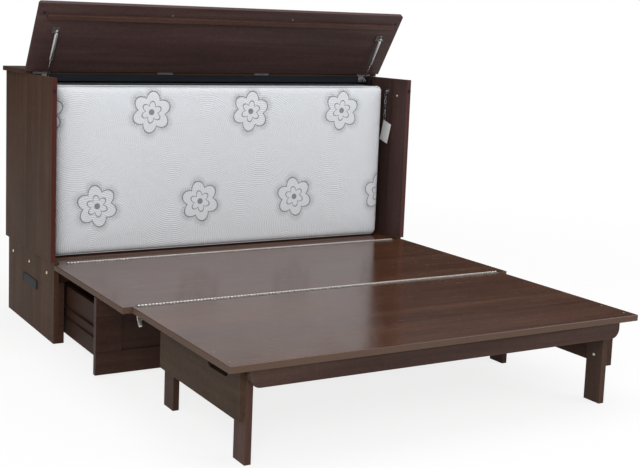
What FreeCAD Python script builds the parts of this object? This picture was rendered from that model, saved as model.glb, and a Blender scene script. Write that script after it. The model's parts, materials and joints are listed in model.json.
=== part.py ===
import FreeCAD, Part
import math
import os

# Cabinet bed, opened out, in millimetres. X runs across, Y to the back, Z up.
# Places are worked out from the front edges of the side panels (Y = 0) and the floor (Z = 0),
# then every piece moves by one step so that the origin lies under the middle of the whole.

# Cabinet
CABINET_WIDTH = 1640.0
CABINET_DEPTH = 606.0
SIDE_TOP = 1020.0
SIDE_THICKNESS = 20.0
BASE_RISE = 6.0
BASE_THICKNESS = 21.0
BASE_INSET = 14.0
POST_THICKNESS = 21.0
POST_DEPTH = 60.0
BACK_THICKNESS = 12.0
BACK_RECESS = 4.0
BASE_BACK_THICKNESS = 21.0
GROOVE_WIDTH = 4.0
GROOVE_DEPTH = 2.0
EASED_EDGE = 1.5

# Top and lid
TOP_THICKNESS = 18.0
TOP_OVERHANG = 15.0
TOP_REAR_OVERHANG = 8.0
SPLIT_FROM_BACK = 309.0
LID_OVERHANG = 24.0
LID_GAP = 1.5
LID_OPEN_ANGLE = 56.3
LID_BUMPER_THICKNESS = 1.5
LID_BUMPER_RADIUS = 6.0
LID_BUMPER_INSET = 20.0
LID_CORNER = 10.0
BATTEN_DEPTH = 20.0
BATTEN_THICKNESS = 14.0
BATTEN_CLEARANCE = 3.0
RAIL_DEPTH = 45.0
RAIL_HEIGHT = 28.0

# Deck: one fixed board and two hinged panels
DECK_TOP = 312.0
DECK_THICKNESS = 21.0
CLOSED_TOP_ROOM = 2.7
FOOT_SHORTER = 2.0
MIDDLE_INSET = 12.0
FOOT_INSET = 47.0
PANEL_GAP = 1.5
DECK_AXIS_REACH = 4.0
DECK_EDGE = 2.5
CLEAT_HEIGHT = 51.0
FRONT_RAIL_HEIGHT = 54.0
FRONT_RAIL_THICKNESS = 20.0
FRONT_RAIL_SETBACK = 20.0

# Long hinges of the deck
PIANO_END = 16.0
PIANO_KNUCKLES = 11
PIANO_RADIUS = 2.5
PIANO_PIN = 1.1
PIANO_LEAF = 16.0
PIANO_SHEET = 1.2

# Butt hinges of the lid and of the leg frames
BUTT_LENGTH = 70.0
BUTT_KNUCKLES = 3
BUTT_RADIUS = 3.5
BUTT_PIN = 1.6
BUTT_LEAF = 20.0
BUTT_SHEET = 1.5
LID_HINGE_INSET = 53.0
LID_HINGE_INNER = 230.0
LEG_HINGE_RADIUS = 4.0
LEG_HINGE_LEAF = 32.0

# Running clearances
KNUCKLE_GAP = 0.4
KNUCKLE_CLEARANCE = 0.3
PIN_CLEARANCE = 0.05
SHANK_CLEARANCE = 0.05
REST_GAP = 0.3

# Bars up to this radius are drawn with flat sides
SLIM_RADIUS = 7.0
SLIM_SIDES = 12

# Leg frames, foot rail and closing hooks under the foot panel
LEG_THICKNESS = 22.0
LEG_WIDTH = 71.0
APRON_THICKNESS = 22.0
APRON_HEIGHT = 161.0
APRON_INSET = 59.0
LEG_FRONT_SETBACK = 48.0
LEG_REAR_FACE = 88.0
APRON_REAR_STEP = 11.0
SLOT_LENGTH = 130.0
SLOT_HEIGHT = 36.0
SLOT_FROM_FRONT = 187.0
SLOT_DROP = 35.0
FOOT_RAIL_END = 73.0
FOOT_RAIL_THICKNESS = 20.0
FOOT_RAIL_HEIGHT = 54.0
FOOT_RAIL_SETBACK = 10.0
FOOT_RAIL_CORNER = 32.0
HOOK_INSET = 13.0
HOOK_REACH = 31.0
HOOK_WIDTH = 18.0
HOOK_SHEET = 3.0
HOOK_DROP = 38.0
HOOK_BEND = 7.5
HOOK_FLANGE = 30.0

# Pulls on the middle panel
PULL_X = 51.0
PULL_SPACING = 128.0
PULL_FROM_AXIS = 281.0
PULL_LENGTH = 152.0
PULL_WIDTH = 12.0
PULL_BAR = 8.0
PULL_STANDOFF = 26.0
PULL_POST_RADIUS = 4.5

# Drawer
DRAWER_KEPT_IN = 104.0
DRAWER_FRONT_THICKNESS = 20.0
DRAWER_FRONT_BOTTOM = 10.0
DRAWER_FRONT_ROOM = 4.0
DRAWER_FACE_CLOSED = -22.0
DRAWER_BACK_ROOM = 47.0
DRAWER_BOARD = 15.0
DRAWER_BOX_BOTTOM = 32.0
DRAWER_TOP_ROOM = 15.0
DRAWER_FLOOR = 9.0
DRAWER_FLOOR_RISE = 10.0
DRAWER_GROOVE = 6.0
RUNNER_SPACE = 13.0
RUNNER_HEIGHT = 45.0
RUNNER_BOTTOM = 100.0
RUNNER_SHEET = 1.5
SHAKER_STILE = 97.0
SHAKER_RAIL_TOP = 71.0
SHAKER_RAIL_BOTTOM = 81.0
SHAKER_SINK = 7.0
SCOOP_WIDTH = 240.0
SCOOP_DEPTH = 32.0

# Folded mattress: three sections standing on the deck
MATTRESS_LEFT_ROOM = 20.0
MATTRESS_RIGHT_ROOM = 56.0
MATTRESS_FRONT_ROOM = 29.2
MATTRESS_BACK_ROOM = 7.0
MATTRESS_TOP_ROOM = 2.6
MATTRESS_GAP = 1.0
MATTRESS_CORNER = 26.0
MATTRESS_END_ROUND = 20.0
MATTRESS_CROWN = 2.0
MATTRESS_LIFT = 0.4

# Gas struts of the lid
STRUT_INSET = 48.0
STRUT_ROOT_BEHIND = 22.0
STRUT_ROOT_DROP = 20.0
STRUT_LID_REACH = 200.0
STRUT_LID_DROP = 32.0
STRUT_ROD = 3.0
STRUT_BARREL = 7.0
STRUT_BARREL_LENGTH = 125.0
STRUT_ROD_LENGTH = 145.0
STRUT_BORE_END = 6.0
STRUT_EYE = 7.0
STRUT_EYE_WIDTH = 8.0
STRUT_STUD = 4.0
STRUT_EAR = 3.0
STRUT_EAR_GAP = 3.0
STRUT_PLATE = 2.5
STRUT_PLATE_SIZE = 28.0

# Chains, small fittings and the socket panel
CHAIN_INSET = 9.0
CHAIN_Y = 149.0
CHAIN_DROP = 58.0
CHAIN_LINKS = 9
LINK_WIRE = 1.5
LINK_BEND = 4.5
LINK_STRAIGHT = 4.5
LINK_PITCH = 14.7
ANCHOR_PLATE = 12.0
ANCHOR_PLATE_THICKNESS = 2.5
ANCHOR_STUD = 2.5
ANCHOR_HEAD = 5.0
TAG_WIDTH = 64.0
TAG_HEIGHT = 100.0
TAG_THICKNESS = 0.6
TAG_TILT = 10.0
TAG_HOLE = 2.5
TAG_HOLE_INSET = 9.0
TAG_LOOP = 6.0
TAG_WIRE = 0.6
BUMPER_RADIUS = 6.0
BUMPER_PROUD = 6.0
BUMPER_DROP = 49.0
BOLT_FROM_FRONT = 86.0
BOLT_FROM_BACK = 69.0
BOLT_DROP = 29.0
BOLT_HEAD = 7.0
BOLT_HEAD_HEIGHT = 3.0
BOLT_SHANK = 4.0
BOLT_LENGTH = 34.0
SOCKET_Y = (207.0, 390.0)
SOCKET_Z = (167.0, 203.0)
SOCKET_PROUD = 3.0
SOCKET_BAR = 40.0

# Places that follow from the values above
HALF = CABINET_WIDTH / 2
SIDE_INNER = HALF - SIDE_THICKNESS
BASE_OUTER = HALF - BASE_INSET
BASE_INNER = BASE_OUTER - BASE_THICKNESS
POST_INNER = BASE_INNER - POST_THICKNESS
TOP_HALF = HALF + TOP_OVERHANG
TOP_FACE = SIDE_TOP + TOP_THICKNESS
SPLIT_Y = CABINET_DEPTH - SPLIT_FROM_BACK
LID_REACH = SPLIT_Y + LID_OVERHANG
BASE_HEIGHT = DECK_TOP + BASE_RISE
TOP_BACK = CABINET_DEPTH + TOP_REAR_OVERHANG
LID_AXIS_Z = TOP_FACE + BUTT_RADIUS + KNUCKLE_CLEARANCE
LEAF_FACE = KNUCKLE_CLEARANCE / 2 + BUTT_SHEET
LEAF_RECESS = LEAF_FACE - LID_GAP / 2
LID_UNDER = SIDE_TOP + LID_BUMPER_THICKNESS
DECK_UNDER = DECK_TOP - DECK_THICKNESS
DECK_AXIS_Y = -DECK_AXIS_REACH
PIANO_FACE = PIANO_RADIUS + KNUCKLE_CLEARANCE
DECK_AXIS_Z = DECK_TOP + PIANO_FACE
MIDDLE_LENGTH = SIDE_TOP - DECK_AXIS_Z - PIANO_RADIUS - CLOSED_TOP_ROOM
FOOT_LENGTH = MIDDLE_LENGTH - FOOT_SHORTER
FOOT_AXIS_Y = DECK_AXIS_Y - MIDDLE_LENGTH
FOOT_FRONT = FOOT_AXIS_Y - FOOT_LENGTH
MIDDLE_HALF = HALF - MIDDLE_INSET
FOOT_HALF = HALF - FOOT_INSET
PIANO_HALF_LENGTH = FOOT_HALF - PIANO_END
LID_HINGE_OUTER = HALF - LID_HINGE_INSET
LID_HINGE_PLACES = (-LID_HINGE_OUTER, -LID_HINGE_INNER, LID_HINGE_INNER, LID_HINGE_OUTER)
FOOT_RAIL_HALF = FOOT_HALF - FOOT_RAIL_END
HOOK_X = FOOT_HALF - HOOK_INSET
BUMPER_Z = SIDE_TOP - BUMPER_DROP
BOLT_REAR = CABINET_DEPTH - BOLT_FROM_BACK
BOLT_Y = (BOLT_FROM_FRONT, (BOLT_FROM_FRONT + BOLT_REAR) / 2, BOLT_REAR)
BOLT_Z = DECK_UNDER - BOLT_DROP
CLOSED_FOOT_BACK = DECK_AXIS_Y + PIANO_FACE + DECK_THICKNESS
BACK_REAR = CABINET_DEPTH - BACK_RECESS
BACK_FRONT = BACK_REAR - BACK_THICKNESS
BASE_BACK_FRONT = CABINET_DEPTH - BASE_BACK_THICKNESS
DRAWER_DEPTH = BASE_BACK_FRONT - DRAWER_BACK_ROOM - DRAWER_FACE_CLOSED - DRAWER_FRONT_THICKNESS
DRAWER_OUT = DRAWER_DEPTH - DRAWER_KEPT_IN
DRAWER_FRONT_TOP = DECK_UNDER - DRAWER_FRONT_ROOM
DRAWER_BOX_TOP = DECK_UNDER - FRONT_RAIL_HEIGHT - DRAWER_TOP_ROOM
DRAWER_FACE = DRAWER_FACE_CLOSED - DRAWER_OUT
DRAWER_BOX_FRONT = DRAWER_FACE + DRAWER_FRONT_THICKNESS
DRAWER_BOX_BACK = DRAWER_BOX_FRONT + DRAWER_DEPTH
DRAWER_HALF = POST_INNER - RUNNER_SPACE
LEG_OUTER = FOOT_HALF - APRON_INSET - APRON_THICKNESS
LEG_INNER = LEG_OUTER - LEG_THICKNESS
LEG_HINGE_FACE = LEG_HINGE_RADIUS + KNUCKLE_CLEARANCE
LEG_AXIS_X = LEG_INNER - LEG_HINGE_FACE
LEG_AXIS_Z = DECK_UNDER - LEG_HINGE_FACE
LEG_FRONT_Y = FOOT_FRONT + LEG_FRONT_SETBACK
LEG_REAR_Y = FOOT_AXIS_Y - LEG_REAR_FACE
MATTRESS_WIDTH = 2 * SIDE_INNER - MATTRESS_LEFT_ROOM - MATTRESS_RIGHT_ROOM
MATTRESS_SHIFT = (MATTRESS_LEFT_ROOM - MATTRESS_RIGHT_ROOM) / 2
MATTRESS_FRONT = CLOSED_FOOT_BACK + FOOT_RAIL_HEIGHT + MATTRESS_FRONT_ROOM
MATTRESS_PITCH = (BACK_FRONT - MATTRESS_BACK_ROOM - MATTRESS_FRONT + MATTRESS_CROWN + MATTRESS_GAP) / 3
MATTRESS_THICKNESS = MATTRESS_PITCH - 2 * MATTRESS_CROWN - MATTRESS_GAP
MATTRESS_SECTION = SIDE_TOP - RAIL_HEIGHT - MATTRESS_TOP_ROOM - DECK_TOP - MATTRESS_LIFT
STRUT_X = SIDE_INNER - STRUT_INSET
CHAIN_X = SIDE_INNER - CHAIN_INSET
CHAIN_Z = SIDE_TOP - CHAIN_DROP
SHIFT_Y = -(FOOT_FRONT + TOP_BACK) / 2

X_AXIS = FreeCAD.Vector(1, 0, 0)
Y_AXIS = FreeCAD.Vector(0, 1, 0)
Z_AXIS = FreeCAD.Vector(0, 0, 1)
ORIGIN = FreeCAD.Vector(0, 0, 0)


def box(x0, x1, y0, y1, z0, z1):
    return Part.makeBox(x1 - x0, y1 - y0, z1 - z0, FreeCAD.Vector(x0, y0, z0))


def rod(start, end, radius):
    along = end.sub(start)
    if radius <= SLIM_RADIUS:
        return slim_prism(start, along, radius)
    return Part.makeCylinder(radius, along.Length, start, along)


def bore(start, end, radius):
    """Hole for a slim rod: its flats stand at the given radius, so the rod turns in it."""
    return slim_prism(start, end.sub(start), radius / math.cos(math.pi / SLIM_SIDES))


def slim_prism(start, along, radius):
    points = []
    for index in range(SLIM_SIDES):
        angle = 2 * math.pi * index / SLIM_SIDES
        points.append(FreeCAD.Vector(radius * math.cos(angle), radius * math.sin(angle), 0))
    prism_solid = prism(points, FreeCAD.Vector(0, 0, along.Length))
    prism_solid.Placement = FreeCAD.Placement(start, FreeCAD.Rotation(Z_AXIS, along))
    return prism_solid


def mirrored(shape):
    return shape.mirror(ORIGIN, X_AXIS)


def both_sides(shape):
    return [shape, mirrored(shape)]


def turned(shape, pivot, axis, degrees):
    copy = shape.copy()
    copy.rotate(pivot, axis, degrees)
    return copy


def moved(shape, x, y, z):
    copy = shape.copy()
    copy.translate(FreeCAD.Vector(x, y, z))
    return copy


def edges_along(shape, axis):
    found = []
    for edge in shape.Edges:
        if isinstance(edge.Curve, Part.Line) and abs(edge.Curve.Direction.dot(axis)) > 0.999:
            found.append(edge)
    return found


def eased(shape, axis, radius=EASED_EDGE):
    return shape.makeFillet(radius, edges_along(shape, axis))


def prism(points, direction):
    face = Part.Face(Part.makePolygon(points + [points[0]]))
    return face.extrude(direction)


# ---- hinges -----------------------------------------------------------------------------

def hinge_leaf(length, knuckles, first, radius, pin, width, sheet, face, pinned):
    """Leaf along X from the origin, its plate toward +Y and its outer face at Z = -face."""
    pitch = length / knuckles
    clear = math.sqrt((radius + KNUCKLE_CLEARANCE) ** 2 - (face - sheet) ** 2)
    solids = []
    for index in range(first, knuckles, 2):
        x0 = index * pitch + KNUCKLE_GAP / 2
        x1 = (index + 1) * pitch - KNUCKLE_GAP / 2
        solids.append(rod(FreeCAD.Vector(x0, 0, 0), FreeCAD.Vector(x1, 0, 0), radius))
        solids.append(box(x0, x1, 0, clear + sheet, -face, sheet - face))
    leaf = box(0, length, clear, width, -face, sheet - face).multiFuse(solids)
    if pinned:
        leaf = leaf.fuse(rod(ORIGIN, FreeCAD.Vector(length, 0, 0), pin))
    else:
        leaf = leaf.cut(bore(FreeCAD.Vector(-1, 0, 0), FreeCAD.Vector(length + 1, 0, 0), pin + PIN_CLEARANCE))
    return leaf.removeSplitter()


def piano_leaf(first, pinned):
    return hinge_leaf(2 * PIANO_HALF_LENGTH, PIANO_KNUCKLES, first, PIANO_RADIUS, PIANO_PIN,
                      PIANO_LEAF, PIANO_SHEET, PIANO_FACE, pinned)


def piano_pair(axis_y):
    """Rear leaf with the pin, and the front leaf that turns on it."""
    rear = moved(piano_leaf(0, True), -PIANO_HALF_LENGTH, axis_y, DECK_AXIS_Z)
    front = piano_leaf(1, False).mirror(ORIGIN, Y_AXIS)
    return rear, moved(front, -PIANO_HALF_LENGTH, axis_y, DECK_AXIS_Z)


def lid_leaf(first, pinned):
    return hinge_leaf(BUTT_LENGTH, BUTT_KNUCKLES, first, BUTT_RADIUS, BUTT_PIN,
                      BUTT_LEAF, BUTT_SHEET, LEAF_FACE, pinned)


def lid_hinge_leaves(center):
    """Both leaves hang down in the joint of the closed lid, let into the board edges."""
    fixed = turned(lid_leaf(0, True), ORIGIN, X_AXIS, -90).mirror(ORIGIN, Y_AXIS)
    moving = turned(lid_leaf(1, False), ORIGIN, X_AXIS, -90)
    x = center - BUTT_LENGTH / 2
    return moved(fixed, x, SPLIT_Y, LID_AXIS_Z), moved(moving, x, SPLIT_Y, LID_AXIS_Z)


# ---- cabinet ----------------------------------------------------------------------------

def base_side():
    board = box(BASE_INNER, BASE_OUTER, 0, CABINET_DEPTH, 0, BASE_HEIGHT)
    board = eased(board, Z_AXIS)
    for y in BOLT_Y:
        board = board.cut(bolt_hole(y))
    return board


def bolt_hole(y):
    start = FreeCAD.Vector(BASE_OUTER + 1, y, BOLT_Z)
    end = FreeCAD.Vector(BASE_OUTER - BOLT_LENGTH - 0.5, y, BOLT_Z)
    return bore(start, end, BOLT_SHANK + SHANK_CLEARANCE)


def side_bolt(y):
    surface = FreeCAD.Vector(BASE_OUTER, y, BOLT_Z)
    head = rod(surface, FreeCAD.Vector(BASE_OUTER + BOLT_HEAD_HEIGHT, y, BOLT_Z), BOLT_HEAD)
    shank = rod(surface, FreeCAD.Vector(BASE_OUTER - BOLT_LENGTH, y, BOLT_Z), BOLT_SHANK)
    return head.fuse(shank).removeSplitter()


def deck_cleat():
    cleat = box(POST_INNER, BASE_INNER, FRONT_RAIL_SETBACK + FRONT_RAIL_THICKNESS,
                BASE_BACK_FRONT, DECK_UNDER - CLEAT_HEIGHT, DECK_UNDER)
    for y in BOLT_Y:
        cleat = cleat.cut(bolt_hole(y))
    return cleat


def base_post():
    return box(POST_INNER, BASE_INNER, 0, POST_DEPTH, 0, DECK_UNDER - FRONT_RAIL_HEIGHT)


def runner_batten():
    return box(POST_INNER, BASE_INNER, POST_DEPTH, BASE_BACK_FRONT,
               RUNNER_BOTTOM, RUNNER_BOTTOM + RUNNER_HEIGHT)


def upper_side():
    board = eased(box(SIDE_INNER, HALF, 0, CABINET_DEPTH, BASE_HEIGHT, SIDE_TOP), Z_AXIS)
    half = GROOVE_WIDTH / 2
    middle = CABINET_DEPTH / 2
    points = [FreeCAD.Vector(HALF + 0.01, middle - half, BASE_HEIGHT - 1),
              FreeCAD.Vector(HALF + 0.01, middle + half, BASE_HEIGHT - 1),
              FreeCAD.Vector(HALF - GROOVE_DEPTH, middle, BASE_HEIGHT - 1)]
    return board.cut(prism(points, FreeCAD.Vector(0, 0, SIDE_TOP - BASE_HEIGHT + 2)))


def back_panel():
    """Stands on the deck between the base sides and widens above them."""
    low = box(-BASE_INNER, BASE_INNER, BACK_FRONT, BACK_REAR, DECK_TOP, SIDE_TOP)
    wide = box(-SIDE_INNER, SIDE_INNER, BACK_FRONT, BACK_REAR, BASE_HEIGHT, SIDE_TOP)
    return low.fuse(wide).removeSplitter()


def top_board(y0, y1, under, corner_side):
    """Board of the top with both ends overhanging; its free corners are rounded in plan."""
    board = box(-TOP_HALF, TOP_HALF, y0, y1, under, TOP_FACE)
    corners = []
    for edge in edges_along(board, Z_AXIS):
        at_back = edge.CenterOfMass.y > (y0 + y1) / 2
        if at_back == (corner_side > 0):
            corners.append(edge)
    return board.makeFillet(LID_CORNER, corners)


def mortise(center, y0, y1):
    half = BUTT_LENGTH / 2 + KNUCKLE_CLEARANCE
    low = LID_AXIS_Z - BUTT_LEAF - KNUCKLE_CLEARANCE
    return box(center - half, center + half, y0, y1, low, TOP_FACE + 1)


def rear_top():
    edge = SPLIT_Y + LID_GAP / 2
    board = top_board(edge, TOP_BACK, SIDE_TOP, 1)
    for center in LID_HINGE_PLACES:
        board = board.cut(mortise(center, edge - 1, edge + LEAF_RECESS))
    return board


def lid_panel():
    edge = SPLIT_Y - LID_GAP / 2
    board = top_board(SPLIT_Y - LID_REACH, edge, LID_UNDER, -1)
    for center in LID_HINGE_PLACES:
        board = board.cut(mortise(center, edge - LEAF_RECESS, edge + 1))
    return board


def top_rail():
    front = SPLIT_Y + LID_GAP
    return box(-SIDE_INNER, SIDE_INNER, front, front + RAIL_DEPTH, SIDE_TOP - RAIL_HEIGHT, SIDE_TOP)


def fixed_deck():
    return box(-BASE_INNER, BASE_INNER, DECK_AXIS_Y + PANEL_GAP / 2, BACK_REAR, DECK_UNDER, DECK_TOP)


def front_rail():
    return box(-BASE_INNER, BASE_INNER, FRONT_RAIL_SETBACK,
               FRONT_RAIL_SETBACK + FRONT_RAIL_THICKNESS, DECK_UNDER - FRONT_RAIL_HEIGHT, DECK_UNDER)


def front_bumper():
    x = HALF - SIDE_THICKNESS / 2
    start = FreeCAD.Vector(x, 0, BUMPER_Z)
    return rod(start, FreeCAD.Vector(x, -BUMPER_PROUD, BUMPER_Z), BUMPER_RADIUS)


def chain_anchor():
    wall = FreeCAD.Vector(SIDE_INNER, CHAIN_Y, CHAIN_Z)
    face = FreeCAD.Vector(SIDE_INNER - ANCHOR_PLATE_THICKNESS, CHAIN_Y, CHAIN_Z)
    head = CHAIN_X - LINK_WIRE - 2 * KNUCKLE_CLEARANCE
    tip = FreeCAD.Vector(head, CHAIN_Y, CHAIN_Z)
    end = FreeCAD.Vector(head - LINK_WIRE, CHAIN_Y, CHAIN_Z)
    plate = rod(wall, face, ANCHOR_PLATE)
    stud = rod(face, tip, ANCHOR_STUD)
    return plate.fuse(stud).fuse(rod(tip, end, ANCHOR_HEAD)).removeSplitter()


def socket_panel():
    """Panel let flat on the left base side, in two lengths."""
    x0 = -BASE_OUTER - SOCKET_PROUD
    split = SOCKET_Y[0] + SOCKET_BAR
    long_part = box(x0, -BASE_OUTER, split + REST_GAP, SOCKET_Y[1], SOCKET_Z[0], SOCKET_Z[1])
    short_part = box(x0, -BASE_OUTER, SOCKET_Y[0], split, SOCKET_Z[0], SOCKET_Z[1])
    return [eased(long_part, X_AXIS, 4.0), eased(short_part, X_AXIS, 4.0)]


# ---- lid and struts ---------------------------------------------------------------------

LID_PIVOT = FreeCAD.Vector(0, SPLIT_Y, LID_AXIS_Z)
STRUT_ROOT = FreeCAD.Vector(0, SPLIT_Y - STRUT_ROOT_BEHIND, SIDE_TOP - STRUT_ROOT_DROP)
STRUT_TOP_CLOSED = FreeCAD.Vector(0, SPLIT_Y - STRUT_LID_REACH, TOP_FACE - STRUT_LID_DROP)


def opened(shape):
    return turned(shape, LID_PIVOT, X_AXIS, -LID_OPEN_ANGLE)


def strut_top_open():
    point = Part.Vertex(STRUT_TOP_CLOSED)
    return opened(point).Point


def strut_length():
    return strut_top_open().sub(STRUT_ROOT).Length


def lid_batten():
    """Lies just behind the foot panel of the closed bed, between the sides."""
    front = CLOSED_FOOT_BACK + BATTEN_CLEARANCE
    half = SIDE_INNER - BATTEN_CLEARANCE
    board = box(-half, half, front, front + BATTEN_DEPTH, LID_UNDER - BATTEN_THICKNESS, LID_UNDER)
    return eased(board, X_AXIS)


def lid_bumper():
    x = HALF - SIDE_THICKNESS / 2
    under = FreeCAD.Vector(x, LID_BUMPER_INSET, LID_UNDER)
    return rod(under, FreeCAD.Vector(x, LID_BUMPER_INSET, SIDE_TOP), LID_BUMPER_RADIUS)


def ear_plate(pivot, wall_y, wall_z):
    """Ear around a strut pivot, reaching to the given wall in Y or in Z."""
    x0 = STRUT_X + STRUT_EYE_WIDTH / 2 + STRUT_EAR_GAP
    start = FreeCAD.Vector(x0, pivot.y, pivot.z)
    ear = rod(start, FreeCAD.Vector(x0 + STRUT_EAR, pivot.y, pivot.z), STRUT_EYE)
    if wall_y is not None:
        web = box(x0, x0 + STRUT_EAR, pivot.y, wall_y, pivot.z - STRUT_EYE, pivot.z + STRUT_EYE)
    else:
        web = box(x0, x0 + STRUT_EAR, pivot.y - STRUT_EYE, pivot.y + STRUT_EYE, pivot.z, wall_z)
    return ear.fuse(web)


def strut_bracket():
    wall = SPLIT_Y + LID_GAP
    z0 = SIDE_TOP - RAIL_HEIGHT
    plate = box(STRUT_X - STRUT_PLATE_SIZE / 2, STRUT_X + STRUT_PLATE_SIZE / 2,
                wall - STRUT_PLATE, wall, z0, SIDE_TOP)
    x0 = STRUT_X + STRUT_EYE_WIDTH / 2 + STRUT_EAR_GAP
    start = FreeCAD.Vector(x0, STRUT_ROOT.y, STRUT_ROOT.z)
    stud = rod(start, FreeCAD.Vector(STRUT_X - STRUT_EYE_WIDTH / 2, STRUT_ROOT.y, STRUT_ROOT.z), STRUT_STUD)
    return plate.fuse(ear_plate(STRUT_ROOT, wall, None)).fuse(stud).removeSplitter()


def lid_stud():
    """The strut's socket stays just beside the stud's end, because its pivot is open."""
    pivot = STRUT_TOP_CLOSED
    half = STRUT_PLATE_SIZE / 2
    plate = box(STRUT_X - half, STRUT_X + half, pivot.y - half, pivot.y + half,
                LID_UNDER - STRUT_PLATE, LID_UNDER)
    x0 = STRUT_X + STRUT_EYE_WIDTH / 2 + STRUT_EAR_GAP
    start = FreeCAD.Vector(x0, pivot.y, pivot.z)
    end = FreeCAD.Vector(STRUT_X + STRUT_EYE_WIDTH / 2 + REST_GAP, pivot.y, pivot.z)
    return plate.fuse(ear_plate(pivot, None, LID_UNDER)).fuse(rod(start, end, STRUT_STUD)).removeSplitter()


def along_strut(shape):
    """Turns a shape built upward from the origin onto the line of the open strut."""
    line = strut_top_open().sub(STRUT_ROOT)
    angle = math.degrees(math.atan2(line.z, line.y)) - 90
    placed = turned(shape, ORIGIN, X_AXIS, angle)
    return moved(placed, STRUT_X, STRUT_ROOT.y, STRUT_ROOT.z)


def cross_disc(z, radius):
    half = STRUT_EYE_WIDTH / 2
    return rod(FreeCAD.Vector(-half, 0, z), FreeCAD.Vector(half, 0, z), radius)


def strut_rod():
    shaft = rod(ORIGIN, FreeCAD.Vector(0, 0, STRUT_ROD_LENGTH), STRUT_ROD)
    eye = cross_disc(0, STRUT_EYE).fuse(shaft)
    half = STRUT_EYE_WIDTH / 2 + 1
    hole = bore(FreeCAD.Vector(-half, 0, 0), FreeCAD.Vector(half, 0, 0), STRUT_STUD + PIN_CLEARANCE)
    return along_strut(eye.cut(hole).removeSplitter())


def strut_barrel():
    length = strut_length()
    top = length - STRUT_EYE
    bottom = top - STRUT_BARREL_LENGTH
    tube = rod(FreeCAD.Vector(0, 0, bottom), FreeCAD.Vector(0, 0, top), STRUT_BARREL)
    neck = rod(FreeCAD.Vector(0, 0, top - 1), FreeCAD.Vector(0, 0, length), STRUT_STUD)
    barrel = tube.fuse(neck).fuse(cross_disc(length, STRUT_EYE))
    hole = bore(FreeCAD.Vector(0, 0, bottom - 1), FreeCAD.Vector(0, 0, top - STRUT_BORE_END),
                STRUT_ROD + PIN_CLEARANCE)
    return along_strut(barrel.cut(hole).removeSplitter())


# ---- folding deck -----------------------------------------------------------------------

def middle_panel():
    board = box(-MIDDLE_HALF, MIDDLE_HALF, FOOT_AXIS_Y + PANEL_GAP / 2, DECK_AXIS_Y - PANEL_GAP / 2,
                DECK_UNDER, DECK_TOP)
    return board.makeFillet(DECK_EDGE, edges_along(board, Z_AXIS) + edges_along(board, Y_AXIS))


def foot_panel():
    board = box(-FOOT_HALF, FOOT_HALF, FOOT_FRONT, FOOT_AXIS_Y - PANEL_GAP / 2, DECK_UNDER, DECK_TOP)
    edges = edges_along(board, Z_AXIS) + edges_along(board, Y_AXIS)
    for edge in edges_along(board, X_AXIS):
        if edge.CenterOfMass.y < FOOT_FRONT + 1:
            edges.append(edge)
    return board.makeFillet(DECK_EDGE, edges)


def pull():
    """Bar on two posts, the bar's ends bowed back a little toward the panel."""
    middle = DECK_AXIS_Y - PULL_FROM_AXIS - PULL_SPACING / 2
    low = DECK_UNDER - PULL_STANDOFF
    half = PULL_LENGTH / 2
    ends = [FreeCAD.Vector(PULL_X - PULL_WIDTH / 2, middle - half, low + 3),
            FreeCAD.Vector(PULL_X - PULL_WIDTH / 2, middle, low),
            FreeCAD.Vector(PULL_X - PULL_WIDTH / 2, middle + half, low + 3)]
    inner = [point.add(FreeCAD.Vector(0, 0, PULL_BAR - 1)) for point in ends]
    outline = Part.Wire([Part.Arc(ends[0], ends[1], ends[2]).toShape(),
                         Part.makeLine(ends[2], inner[2]),
                         Part.Arc(inner[2], inner[1], inner[0]).toShape(),
                         Part.makeLine(inner[0], ends[0])])
    bar = Part.Face(outline).extrude(FreeCAD.Vector(PULL_WIDTH, 0, 0))
    for side in (-1, 1):
        y = middle + side * PULL_SPACING / 2
        bar = bar.fuse(rod(FreeCAD.Vector(PULL_X, y, low + PULL_BAR / 2),
                           FreeCAD.Vector(PULL_X, y, DECK_UNDER), PULL_POST_RADIUS))
    return bar.removeSplitter()


def foot_rail():
    y0 = FOOT_FRONT + FOOT_RAIL_SETBACK
    board = box(-FOOT_RAIL_HALF, FOOT_RAIL_HALF, y0, y0 + FOOT_RAIL_THICKNESS,
                DECK_UNDER - FOOT_RAIL_HEIGHT, DECK_UNDER)
    low = [edge for edge in edges_along(board, Y_AXIS) if edge.CenterOfMass.z < DECK_UNDER - 1]
    return board.makeFillet(FOOT_RAIL_CORNER, low)


def closing_hook():
    """Bent strip: a flange on the panel, a drop and a half turn back up."""
    y = FOOT_AXIS_Y - HOOK_REACH
    bottom = DECK_UNDER - HOOK_DROP + HOOK_BEND + HOOK_SHEET / 2
    outer = HOOK_BEND + HOOK_SHEET / 2
    inner = HOOK_BEND - HOOK_SHEET / 2
    x0 = HOOK_X - HOOK_WIDTH / 2
    center = y - HOOK_BEND
    ring = Part.makeCylinder(outer, HOOK_WIDTH, FreeCAD.Vector(x0, center, bottom), X_AXIS)
    ring = ring.cut(Part.makeCylinder(inner, HOOK_WIDTH, FreeCAD.Vector(x0, center, bottom), X_AXIS))
    bend = ring.common(box(x0, x0 + HOOK_WIDTH, center - outer, center + outer, bottom - outer, bottom))
    drop = box(x0, x0 + HOOK_WIDTH, y - HOOK_SHEET / 2, y + HOOK_SHEET / 2, bottom, DECK_UNDER)
    tip_y = center - HOOK_BEND
    tip = box(x0, x0 + HOOK_WIDTH, tip_y - HOOK_SHEET / 2, tip_y + HOOK_SHEET / 2, bottom, bottom + HOOK_BEND)
    flange = box(x0, x0 + HOOK_WIDTH, y - HOOK_FLANGE, y + HOOK_SHEET / 2, DECK_UNDER - HOOK_SHEET, DECK_UNDER)
    return bend.fuse(drop).fuse(tip).fuse(flange).removeSplitter()


def leg(y_front):
    board = box(LEG_INNER, LEG_OUTER, y_front, y_front + LEG_WIDTH, 0, DECK_UNDER - REST_GAP)
    return eased(board, Z_AXIS)


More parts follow.
